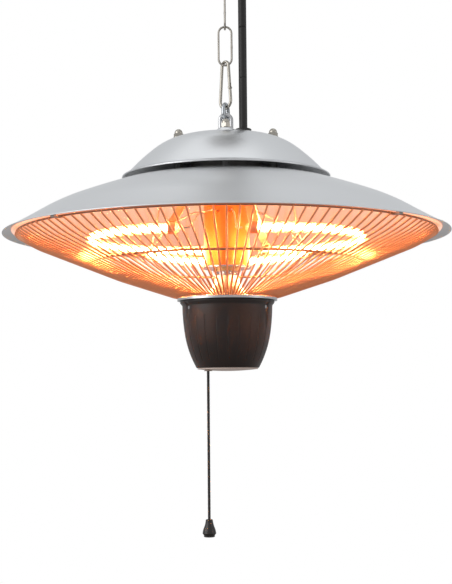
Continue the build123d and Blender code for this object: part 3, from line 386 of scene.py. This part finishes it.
def lit_sheet(name, color, roughness, near, far, glow):
    """Polished aluminium in the lamps' light.

    A low noise bends the mirror, so streaks turn soft and uneven. A painted glow, emission that stands in for
    the light of the many reflections between lamps and sheet, runs from the colour near, at the axis, to the
    colour far, at 150 mm from it.
    """
    material, shader, tree = node_material(
        name,
        {"Metallic": 1.0, "Base Color": (*color, 1), "Roughness": roughness, "Emission Strength": glow},
    )
    share = tree.nodes.new("ShaderNodeMapRange")
    share.inputs["From Max"].default_value = 0.150
    tree.links.new(axis_distance(tree), share.inputs["Value"])
    painted_glow_color = two_colors(tree, share.outputs["Result"], near, far)
    tree.links.new(painted_glow_color, shader.inputs["Emission Color"])
    add_bump(tree, shader, place_noise(tree, scale=45.0), strength=0.25, distance=0.0010)
    return material


reflector_line = arc_line(
    [(0.065, reflector_level), (0.120, 0.0356), (0.160, 0.0226), (0.194, 0.0083), (0.204, 0.00345)],
    lean=0, steps=16,
)
reflector_top = np.vstack(([(0.0222, reflector_level), (0.044, reflector_level)], reflector_line))
reflector_low = offset_line(reflector_top, reflector_wall)[::-1]
reflector_points = spun_points(np.vstack((reflector_top, reflector_low)) + (0, rim), reflector_turns)
reflector = grid_mesh("reflector_skin", reflector_points, close_rows=True, close_columns=True)
# Its peach colour and its orange glow are painted lamp light on polished aluminium.
reflector.data.materials.append(
    lit_sheet(
        "polished_reflector", (0.92, 0.80, 0.70), roughness=0.17,
        near=(1.0, 0.24, 0.04), far=(0.90, 0.32, 0.15), glow=0.74,
    )
)
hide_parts("reflector")
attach(reflector, "heater")


# Guard: 116 thin plated wires from the outer ring to the bright collar, welded under two rings, so that
# nothing touches the lamps. Four small tabs join the outer ring to the shade.
guard_wire_count = 116
guard_wire_radius = 0.0009


def rounded_path(corners, radii, step):
    """Points of a polyline with round corners, at most step degrees apart.

    Each corner is cut back by radius times the tangent of half its turn and bridged by an arc.
    """
    corners = [np.array(c, float) for c in corners]
    line = [corners[0]]
    for before, corner, after, radius in zip(corners, corners[1:], corners[2:], radii):
        into = (corner - before) / np.linalg.norm(corner - before)
        out = (after - corner) / np.linalg.norm(after - corner)
        turn = math.acos(max(-1.0, min(1.0, float(into @ out))))
        start = corner - into * radius * math.tan(turn / 2)
        side = out - into * float(into @ out)
        side /= np.linalg.norm(side)
        for angle in np.linspace(0, turn, max(3, int(math.degrees(turn) / step) + 2)):
            line.append(start + radius * (into * math.sin(angle) + side * (1 - math.cos(angle))))
    line.append(corners[-1])
    return np.array(line)


def tube_points(path, radius, sides, closed=False):
    """Rings of points round a path, each square to it.

    The side direction is carried along the path by removing its part along each new tangent, so that
    the rings don't twist. radius is one value or one per point.
    """
    path = np.asarray(path, float)
    if closed:
        along = np.roll(path, -1, axis=0) - np.roll(path, 1, axis=0)
    else:
        along = np.gradient(path, axis=0)
    along /= np.linalg.norm(along, axis=1)[:, None]
    askew = (0.31, 0.17, 0.93)
    side = np.cross(along[0], askew)
    carried = []
    for tangent in along:
        side = side - tangent * (side @ tangent)
        side /= np.linalg.norm(side)
        carried.append(side.copy())
    across = np.array(carried)
    over = np.cross(along, across)
    angle = np.arange(sides) * (2 * math.pi / sides)
    reach = np.broadcast_to(np.asarray(radius, float), (len(path),))[:, None, None]
    ring = np.cos(angle)[None, :, None] * across[:, None] + np.sin(angle)[None, :, None] * over[:, None]
    return path[:, None] + reach * ring


def turned_copies(points, count):
    """Copies of a points array, turned about the vertical axis in equal steps."""
    copies = []
    for angle in np.arange(count) * (2 * math.pi / count):
        c, s = math.cos(angle), math.sin(angle)
        copies.append(points @ np.array([[c, s, 0], [-s, c, 0], [0, 0, 1]]))
    return copies


def many_tubes(name, tubes, endless=False):
    """One mesh of separate tubes, each given as rings of points.

    The rings of an endless tube join up. Another tube gets a face on each end.
    """
    points, faces, start = [], [], 0
    for rings in tubes:
        rows, columns = rings.shape[:2]
        index = start + np.arange(rows * columns).reshape(rows, columns)
        down = np.vstack((index, index[:1])) if endless else index
        faces += quads_between(np.column_stack((down, down[:, :1])))
        if not endless:
            faces += [index[0][::-1].tolist(), index[-1].tolist()]
        points.append(rings.reshape(-1, 3))
        start += rows * columns
    return mesh_piece(name, np.vstack(points), faces, [True] * len(faces))


def plated_wire(name, color, roughness, glow):
    """Plated wire with slight heat tint and a faint painted glow, emission in place of the lamps' light.

    A slow noise leads the colour from grey to straw.
    """
    material, shader, tree = node_material(
        name,
        {
            "Metallic": 1.0, "Roughness": roughness,
            "Emission Color": (1.0, 0.24, 0.07, 1), "Emission Strength": glow,
        },
    )
    grey = [0.8 * c for c in color]
    straw = (color[0], color[1] * 0.92, color[2] * 0.82)
    tint = two_colors(tree, place_noise(tree, scale=30.0), grey, straw)
    tree.links.new(tint, shader.inputs["Base Color"])
    return material


wire_path = rounded_path(
    [
        (0.2005, 0, rim), (0.184, 0, rim - 0.0092), (0.105, 0, rim - 0.0405),
        (0.053, 0, rim - 0.0576), (0.0468, 0, rim - 0.0590),
    ],
    radii=(0.060, 0.120, 0.006), step=3.0,
)
wire_rings = tube_points(wire_path, guard_wire_radius, sides=8)
wires = many_tubes("guard_wire_set", turned_copies(wire_rings, guard_wire_count))
# Its warm brown colour is partly painted lamp light, and its glow is painted lamp light.
wires.data.materials.append(
    plated_wire("guard_wire_plating", (0.56, 0.36, 0.25), roughness=0.34, glow=0.27)
)
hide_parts("guard_wires")
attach(wires, "heater")


# Quartz lamps: three clear tubes bent to near half circles, each with a coiled filament that glows
# white-hot. Their drawn-out cold ends sit in the clips of the holder arms.
quartz_radius = 0.0045
quartz_stem_radius = 0.0016
half_sweep = 89
straight_run = 0.015
draw_in = 0.004
coil_radius, coil_pitch, coil_wire_radius = 0.00195, 0.0011, 0.00045
coil_points_per_turn = 9
cold_end_points = 8
lamp_sizes = {
    "left": ((-0.038, 0), 0.092, -0.0035, 170),
    "right": ((0.038, 0), 0.092, -0.0035, 355),
    "inner": ((0, 0), 0.072, -0.017, 90),
}


def lamp_path(center, radius, height, middle, steps):
    """Middle line of a lamp: a level arc of 178 degrees that runs on straight for 15 mm at both ends.

    middle is the direction of the arc's middle, in degrees, and height is over the rim.
    """
    first, last = math.radians(middle - half_sweep), math.radians(middle + half_sweep)
    angle = np.linspace(first, last, steps)
    x, y = center[0] + radius * np.cos(angle), center[1] + radius * np.sin(angle)
    arc = np.column_stack((x, y, np.full(steps, rim + height)))
    back = np.array([math.sin(first), -math.cos(first), 0])
    ahead = np.array([-math.sin(last), math.cos(last), 0])
    run = np.linspace(straight_run, 0.0008, 14)[:, None]
    return np.vstack((arc[0] + run * back, arc, arc[-1] + run[::-1] * ahead))


def walked_lengths(path):
    """Distance walked along the path from its start to each of its points."""
    return np.concatenate(([0], np.cumsum(np.linalg.norm(np.diff(path, axis=0), axis=1))))


def closed_tube(path, radius, stem, sides):
    """Rings of a tube whose ends draw in over their last 4 mm to a pinched stem of the given radius."""
    walked = walked_lengths(path)
    nearest = np.minimum(walked, walked[-1] - walked)
    widths = stem + (radius - stem) * np.sqrt(np.clip(nearest / draw_in, 0, 1))
    return tube_points(path, widths, sides)


def coil_points(path, radius, pitch, per_turn):
    """Middle line of a coil wound round a path.

    The point moves along the path at a steady rate while it circles it, one turn for each pitch.
    """
    walked = walked_lengths(path)
    place = np.linspace(0, walked[-1], int(walked[-1] / pitch * per_turn))
    middle = np.column_stack([np.interp(place, walked, path[:, k]) for k in range(3)])
    along = np.gradient(middle, axis=0)
    along /= np.linalg.norm(along, axis=1)[:, None]
    up = np.array([0, 0, 1.0])
    side = np.cross(along, up)
    angle = place / pitch * 2 * math.pi
    return middle + radius * (np.cos(angle)[:, None] * side + np.sin(angle)[:, None] * up)


def clear_quartz(name, color, alpha, strength):
    """Clear quartz in front of a hot coil: mostly see-through, with a faint glow that a slow noise varies."""
    material, shader, tree = node_material(
        name,
        {
            "Base Color": (*color, 1), "Roughness": 0.08,
            "Alpha": alpha, "Emission Color": (*color, 1),
        },
    )
    glow = spread(tree, place_noise(tree, scale=60.0), 0.8 * strength, 1.2 * strength)
    tree.links.new(glow, shader.inputs["Emission Strength"])
    return material


def hot_tungsten(name, color, strength):
    """Tungsten at white heat: it gives off light over its whole surface, a little unevenly."""
    material, shader, tree = node_material(
        name, {"Base Color": (0.1, 0.1, 0.1, 1), "Emission Color": (*color, 1)}
    )
    heat = spread(tree, place_noise(tree, scale=25.0), 0.85 * strength, 1.15 * strength)
    tree.links.new(heat, shader.inputs["Emission Strength"])
    return material


glass_look = clear_quartz("clear_quartz", (1.0, 0.50, 0.20), alpha=0.22, strength=1.6)
coils = []
for name, (center, radius, height, middle) in lamp_sizes.items():
    path = lamp_path(center, radius, height, middle, steps=72)
    quartz = closed_tube(path, quartz_radius, quartz_stem_radius, sides=20)
    lamp = grid_mesh(name + "_quartz", quartz, close_columns=True, caps=True)
    lamp.data.materials.append(glass_look)
    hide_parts(name + "_lamp")
    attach(lamp, "heater")
    hot_path = path[cold_end_points:-cold_end_points]
    coil = coil_points(hot_path, coil_radius, coil_pitch, coil_points_per_turn)
    coils.append(tube_points(coil, coil_wire_radius, sides=5))
filament = many_tubes("filament_coils", coils)
filament.data.materials.append(hot_tungsten("filament_light", (1.0, 0.36, 0.11), strength=330.0))
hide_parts("filaments")
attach(filament, "heater")


# Cup: the moulded housing of the pull switch, dark brown and fluted, screwed to the collar by three screws
# that sit in round channels in its wall. It carries the pale bottom plate.
cup_turns = 720
flute_spacing, flute_depth = 15, 0.00035
flute_top, flute_bottom = 0.0765, 0.1200
channel_count, first_channel = 3, 90
channel_radius, channel_floor, channel_top = 0.0032, 0.0409, 0.0662


def degrees_off(angle, first, spacing):
    """Degrees between an angle and the nearest one of first, first + spacing and so on."""
    return np.abs((np.degrees(angle) - first + spacing / 2) % spacing - spacing / 2)


def cup_wall(line, turns, depth):
    """Turned line with fine flutes and three screw channels sunk into it, or neither when depth is 0.

    A flute is depth deep where its angle is within a degree of a multiple of 15 degrees. A channel is an
    upright round groove of radius r: where the way a across it is under r, the wall is cut back to
    c + r - sqrt(r^2 - a^2), with c the distance of its floor from the axis.
    """
    angle = np.arange(turns) * (2 * math.pi / turns)
    radius = np.repeat(line[:, :1], turns, axis=1)
    height = line[:, 1:] + 0 * angle
    low = rim - height
    near = degrees_off(angle, 0, flute_spacing)
    flute = ease((1.0 - near) / 0.8) * ease((low - flute_top) / 0.0012) * ease((flute_bottom - low) / 0.0012)
    radius = radius - depth * flute
    across = radius * np.sin(np.radians(degrees_off(angle, first_channel, 360 / channel_count)))
    floor = channel_floor + channel_radius - np.sqrt(np.clip(channel_radius ** 2 - across ** 2, 0, None))
    cut = (across < channel_radius) * ease((low - channel_top) / 0.0008) * (depth > 0)
    radius = radius - np.clip(radius - floor, 0, None) * cut
    return np.stack((radius * np.cos(angle), radius * np.sin(angle), height), axis=-1)


def moulded_plastic(name, color, roughness, grain):
    """Moulded plastic: a fine noise roughens its skin and moves its shade a little."""
    material, shader, tree = node_material(name, {"Roughness": roughness})
    skin = place_noise(tree, scale=1500.0, detail=3.0)
    tint = two_colors(tree, skin, [0.85 * c for c in color], [1.15 * c for c in color])
    tree.links.new(tint, shader.inputs["Base Color"])
    add_bump(tree, shader, skin, strength=grain, distance=0.0002)
    return material


cup_outside = np.vstack(
    (
        [(0.0430, -0.0621), (0.0446, -0.0621), (0.0450, -0.0624), (0.0450, -0.0643)],
        arc_line([(0.0430, -0.0669), (0.0408, -0.0933), (0.0297, -0.126)], lean=-91, steps=44),
    )
)
cup_inside = arc_line([(0.0406, -0.0669), (0.0384, -0.0929), (0.0275, -0.1249)], lean=-91, steps=20)[::-1]
cup_inside = np.vstack((cup_inside, [(0.0406, -0.0640), (0.0422, -0.0622)]))
cup_points = np.concatenate(
    (
        cup_wall(cup_outside + (0, rim), cup_turns, flute_depth),
        cup_wall(cup_inside + (0, rim), cup_turns, 0.0),
    )
)
cup = grid_mesh("cup_skin", cup_points, close_rows=True, close_columns=True)
cup.data.materials.append(moulded_plastic("cup_plastic", (0.015, 0.008, 0.006), roughness=0.40, grain=0.05))
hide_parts("cup")
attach(cup, "heater")


# Hanging chain: two welded oval links of plated wire. The upper one hangs in the ceiling hook, the lower one
# carries the snap hook.
chain_link_length, chain_link_width, chain_wire_thickness = 0.0401, 0.0146, 0.002
weld_bead = 0.0002
bend_steps, side_steps = 26, 10


def oval_path(length, width, top, turn):
    """Middle line of an oval link that stands upright: two half circles joined by straight sides."""
    bend = width / 2
    high, low = top - bend, top - length + bend
    angle = np.linspace(0, math.pi, bend_steps)
    over = np.column_stack((bend * np.cos(angle), high + bend * np.sin(angle)))
    under = np.column_stack((-bend * np.cos(angle), low - bend * np.sin(angle)))
    run = np.linspace(0, 1, side_steps + 2)[1:-1, None]
    left = over[-1] + run * (under[0] - over[-1])
    right = under[-1] + run * (over[0] - under[-1])
    flat = np.vstack((over, left, under, right))
    c, s = math.cos(math.radians(turn)), math.sin(math.radians(turn))
    return np.column_stack((flat[:, 0] * c, flat[:, 0] * s, flat[:, 1]))


def link_rings(length, width, wire, top, turn):
    """Rings of an oval link, with a bead where its wire is welded halfway down one side.

    The bead adds its height to the radius as a bell curve, exp(-(d / 1.2 mm)^2) of the distance d.
    """
    path = oval_path(length - wire, width - wire, top - wire / 2, turn)
    weld = path[2 * bend_steps + side_steps + side_steps // 2 - 1]
    distance = np.linalg.norm(path - weld, axis=1)
    widths = wire / 2 + weld_bead * np.exp(-((distance / 0.0012) ** 2))
    return tube_points(path, widths, sides=14, closed=True)


def cast_plating(name, color, roughness):
    """Plated wire or casting with a soft unevenness from a slow noise in its surface."""
    material, shader, tree = node_material(name, {"Metallic": 1.0, "Base Color": (*color, 1)})
    waves = place_noise(tree, scale=260.0)
    tree.links.new(spread(tree, waves, roughness * 0.6, roughness * 1.4), shader.inputs["Roughness"])
    add_bump(tree, shader, waves, strength=0.2, distance=0.0003)
    return material


low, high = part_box("chain_links")
chain_link = (chain_link_length, chain_link_width, chain_wire_thickness)
chain_rings = [
    link_rings(*chain_link, top=high[2], turn=90),
    link_rings(*chain_link, top=low[2] + chain_link_length, turn=0),
]
chain = many_tubes("chain_wire", chain_rings, endless=True)
chain.data.materials.append(cast_plating("chain_nickel", (0.42, 0.39, 0.35), roughness=0.30))
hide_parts("chain_links")
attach(chain, "chain")


# Short link between the snap hook and the heater's U bolt: thick chromed wire, bent to an oval and welded
# halfway down one side. It hangs in the snap hook and carries the whole heater.
short_link_length, short_link_width, short_link_thickness = 0.0185, 0.015, 0.004
short_link_turn = 68

low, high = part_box("short_link")
short_rings = link_rings(
    short_link_length, short_link_width, short_link_thickness, top=high[2], turn=short_link_turn
)
short_link = many_tubes("short_link_wire", [short_rings], endless=True)
short_link.data.materials.append(cast_plating("link_chrome", (0.46, 0.48, 0.50), roughness=0.18))
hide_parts("short_link")
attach(short_link, "snap")


# Power cord: round black rubber cable that hangs straight beside the chain, from the ceiling gland to the
# gland in the cap. Each of its three stretches is drawn as a straight tube in the place of its CAD piece.
power_cord_thickness = 0.008
power_cord_steps = 41
bends = {
    "power_cord_upper": ("ceiling", "chain", -0.020, -0.052),
    "power_cord_middle": ("chain", "snap", -0.084, -0.114),
    "power_cord_lower": ("snap", "heater", -0.134, -0.164),
}


def rubber(name, color, roughness):
    """Matt rubber: fine noise in its roughness and surface."""
    material, shader, tree = node_material(name, {"Base Color": (*color, 1)})
    skin = place_noise(tree, scale=700.0)
    tree.links.new(spread(tree, skin, roughness - 0.08, roughness + 0.08), shader.inputs["Roughness"])
    add_bump(tree, shader, skin, strength=0.15, distance=0.0002)
    return material


def hanging_path(x, y, top, low, steps):
    """Points straight down from the height top to the height low."""
    return np.column_stack((np.full(steps, x), np.full(steps, y), np.linspace(top, low, steps)))


jacket = rubber("cord_jacket_rubber", (0.010, 0.009, 0.008), roughness=0.5)
for node, (above, below, first, last) in bends.items():
    low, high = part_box(node)
    x = (low[0] + high[0]) / 2
    path = hanging_path(x, 0.0, high[2], low[2], power_cord_steps)
    cable = tube_points(path, power_cord_thickness / 2, sides=28)
    piece = grid_mesh(node + "_cable", cable, close_columns=True, caps=True)
    piece.data.materials.append(jacket)
    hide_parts(node)
    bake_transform(piece)


# Pull cord: thin braided cord that comes out of its bushing in the cup's bottom plate and hangs straight
# under the weight of its knob.
pull_cord_thickness = 0.0026
pull_cord_steps = 330
bushing_hold = 0.0013
braid_strands, braid_pitch, braid_depth = 8, 0.0036, 0.00022
black_yarn = (0.020, 0.018, 0.017)


def braid_rings(path, radius, strands, pitch, depth, sides):
    """Rings of a braided cord: strands that wind both ways stand out and cross each other.

    With the angle t round the cord and the height s, the radius is R - d + d max(|cos(n t / 2 + w)|,
    |cos(n t / 2 - w)|), where w is pi s / pitch, n the number of strands and d the depth.
    """
    rings = tube_points(path, radius, sides)
    middle = rings.mean(axis=1, keepdims=True)
    lay = strands / 2 * np.arange(sides) * (2 * math.pi / sides)
    wind = math.pi * np.linalg.norm(path - path[0], axis=1)[:, None] / pitch
    crown = np.maximum(np.abs(np.cos(lay + wind)), np.abs(np.cos(lay - wind)))
    share = (radius - depth + depth * crown) / radius
    return middle + (rings - middle) * share[..., None]


def braided_textile(name, color):
    """Dull woven yarn: a fine noise in its colour over a soft sheen."""
    material, shader, tree = node_material(name, {"Roughness": 0.75, "Sheen Weight": 0.25})
    yarn = place_noise(tree, scale=3000.0)
    tint = two_colors(tree, yarn, [0.6 * c for c in color], [1.5 * c for c in color])
    tree.links.new(tint, shader.inputs["Base Color"])
    return material


low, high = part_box("pull_cord")
cord_x, cord_y = (low[0] + high[0]) / 2, (low[1] + high[1]) / 2
path = hanging_path(cord_x, cord_y, high[2] - bushing_hold, low[2], pull_cord_steps)
braid = braid_rings(path, pull_cord_thickness / 2, braid_strands, braid_pitch, braid_depth, sides=24)
pull_cord = grid_mesh("pull_cord_braid", braid, close_columns=True, caps=True)
pull_cord.data.materials.append(braided_textile("pull_cord_yarn", black_yarn))
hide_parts("pull_cord")
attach(pull_cord, "pull_tail")


# Pull knob: a small cone of black moulded plastic with a rounded skirt. It is threaded on the cord and pushed
# down over the knot at its end.
knob_turns = 64
knob_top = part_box("pull_knob")[1][2]
knob_line = np.vstack(
    (
        [(0.00145, -0.0060), (0.00145, -0.0003), (0.0018, 0.0)],
        circle_line((0.0025, -0.0008), 0.0008, 90, 15, 7),
        arc_line([(0.0034, -0.0012), (0.0052, -0.0080), (0.0062, -0.0118)], lean=-84, steps=10),
        circle_line((0.0054, -0.0128), 0.0010, 20, -65, 9),
        [(0.0050, -0.0152)],
        circle_line((0.0044, -0.0156), 0.0008, -10, -90, 7),
        [(0.0002, -0.0164)],
    )
)
knob_points = spun_points(knob_line + (0, knob_top), knob_turns) + (cord_x, cord_y, 0)
knob = grid_mesh("pull_knob_skin", knob_points, close_columns=True, caps=True)
knob.data.materials.append(moulded_plastic("knob_plastic", (0.016, 0.014, 0.013), roughness=0.32, grain=0.06))
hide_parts("pull_knob")
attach(knob, "pull_tail")


# Bell: a chromed spun skirt that hides the neck's lower nut, over the bright rolled collar ring that holds
# the ends of the guard's wires on the cup.
bell_wall = 0.0009
bell_steps = 30
bell_turns = 128


def polished_metal(name, color, roughness, glow=0.0):
    """Polished or plated metal with fine wiping marks: a stretched noise moves its roughness.

    glow is a painted orange glow, emission in place of the light that a piece close to the lamps takes from
    them.
    """
    material, shader, tree = node_material(
        name,
        {
            "Metallic": 1.0, "Base Color": (*color, 1),
            "Emission Color": (1.0, 0.13, 0.02, 1), "Emission Strength": glow,
        },
    )
    place = tree.nodes.new("ShaderNodeTexCoord")
    stretch = tree.nodes.new("ShaderNodeMapping")
    stretch.inputs["Scale"].default_value = (1, 1, 14)
    marks = tree.nodes.new("ShaderNodeTexNoise")
    marks.inputs["Scale"].default_value = 60.0
    marks.inputs["Detail"].default_value = 5.0
    tree.links.new(place.outputs["Object"], stretch.inputs["Vector"])
    tree.links.new(stretch.outputs["Vector"], marks.inputs["Vector"])
    wiped = spread(tree, marks.outputs["Fac"], roughness * 0.7, roughness * 1.3)
    tree.links.new(wiped, shader.inputs["Roughness"])
    return material


bell_curve = arc_line([(0.0117, -0.0380), (0.0230, -0.0587)], lean=-88, steps=bell_steps)[:-1]
bell_outside = np.vstack((bell_curve, [(0.0232, -0.0589), (0.0268, -0.0591)]))
bell_inner_curve = offset_line(bell_outside[:bell_steps], bell_wall)[::-1]
bell_inside = np.vstack(([(0.0268, -0.0600), (0.0222, -0.0600)], bell_inner_curve))
bell_points = spun_points(np.vstack((bell_outside, bell_inside)) + (0, rim), bell_turns)
bell = grid_mesh("bell_skin", bell_points, close_rows=True, close_columns=True)
bell.data.materials.append(polished_metal("bell_chrome", (0.72, 0.66, 0.62), roughness=0.40))
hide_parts("bell")
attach(bell, "heater")


# The pieces that keep the exact CAD shape: fastenings, plates, arms, glands, and all that sits inside the
# cap, the column and the cup. Each takes the finish of its real material, some with painted lamp light or
# shade.
plated = cast_plating("nickel_plating", (0.46, 0.43, 0.38), roughness=0.24)
chrome = polished_metal("chrome_plating", (0.60, 0.60, 0.61), roughness=0.16)
zinc = cast_plating("zinc_plating", (0.60, 0.60, 0.58), roughness=0.35)
sheet_steel = polished_metal("steel_sheet_finish", (0.52, 0.50, 0.48), roughness=0.38)
finishes = {
    "acorn_nuts": plated,
    "cap_washers": plated,
    "snap_hook": plated,
    "snap_hook_gate": plated,
    "ceiling_hook": plated,
    "u_bolt": chrome,
    "cup_screws": chrome,
    "tube_end_cap": chrome,
    "neck_tube": chrome,
    "u_bolt_nuts": zinc,
    "cap_studs": zinc,
    "stud_nuts": zinc,
    "spacer_sleeves": zinc,
    "load_plate": zinc,
    "rivets": zinc,
    "guard_clips": sheet_steel,
    "junction_box": sheet_steel,
    "cup_top_plate": sheet_steel,
    "power_cord_tail": jacket,
    # The tube's orange colour and its glow are painted lamp light on polished steel.
    "central_tube": polished_metal("tube_polish_painted_glow", (0.30, 0.08, 0.02), 0.40, glow=0.85),
    # The arms' glow is painted lamp light.
    "lamp_arms": polished_metal("arm_steel", (0.62, 0.42, 0.30), 0.38, glow=0.30),
    # The rings' glow is painted lamp light.
    "guard_rings": plated_wire("ring_plating", (0.36, 0.25, 0.20), 0.3, glow=0.07),
    "collar_ring": polished_metal("collar_chrome", (0.60, 0.62, 0.64), 0.32),
    "neck_nuts": cast_plating("nut_brass", (0.72, 0.52, 0.24), 0.3),
    "contact_springs": polished_metal("contact_brass", (0.80, 0.60, 0.30), 0.2),
    "return_spring": polished_metal("spring_wire", (0.62, 0.62, 0.60), 0.25),
    "lamp_leads": cast_plating("lead_wire", (0.55, 0.50, 0.45), 0.4),
    "ceiling_gland": rubber("gland_rubber", (0.014, 0.013, 0.012), 0.5),
    "cord_gland": rubber("cap_gland_rubber", (0.012, 0.011, 0.010), 0.45),
    "inner_leads": rubber("lead_sleeve", (0.32, 0.08, 0.04), 0.5),
    "pull_cord_inner": braided_textile("inner_cord_yarn", black_yarn),
    # The shield's black paint also serves as painted shade inside the vent gap under the cap.
    "heat_shield": moulded_plastic("shield_paint_and_painted_shade", (0.012, 0.012, 0.012), 0.6, 0.2),
    "ceiling_plate": moulded_plastic("plate_paint", (0.80, 0.80, 0.79), 0.35, 0.05),
    "cup_bottom_plate": moulded_plastic("pale_plate_plastic", (0.78, 0.62, 0.54), 0.4, 0.05),
    "cord_bushing": moulded_plastic("bushing_plastic", (0.42, 0.33, 0.28), 0.4, 0.05),
    "terminal_block": moulded_plastic("terminal_plastic", (0.72, 0.70, 0.64), 0.45, 0.08),
    "switch_case": moulded_plastic("switch_plastic", (0.66, 0.66, 0.62), 0.45, 0.08),
    "switch_cover": moulded_plastic("cover_plastic", (0.70, 0.70, 0.66), 0.45, 0.08),
    "pull_wheel": moulded_plastic("wheel_plastic", (0.75, 0.73, 0.68), 0.35, 0.04),
    "selector_drum": moulded_plastic("drum_plastic", (0.45, 0.10, 0.06), 0.4, 0.05),
}
for name, finish in finishes.items():
    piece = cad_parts[name]
    piece.data.materials.clear()
    piece.data.materials.append(finish)
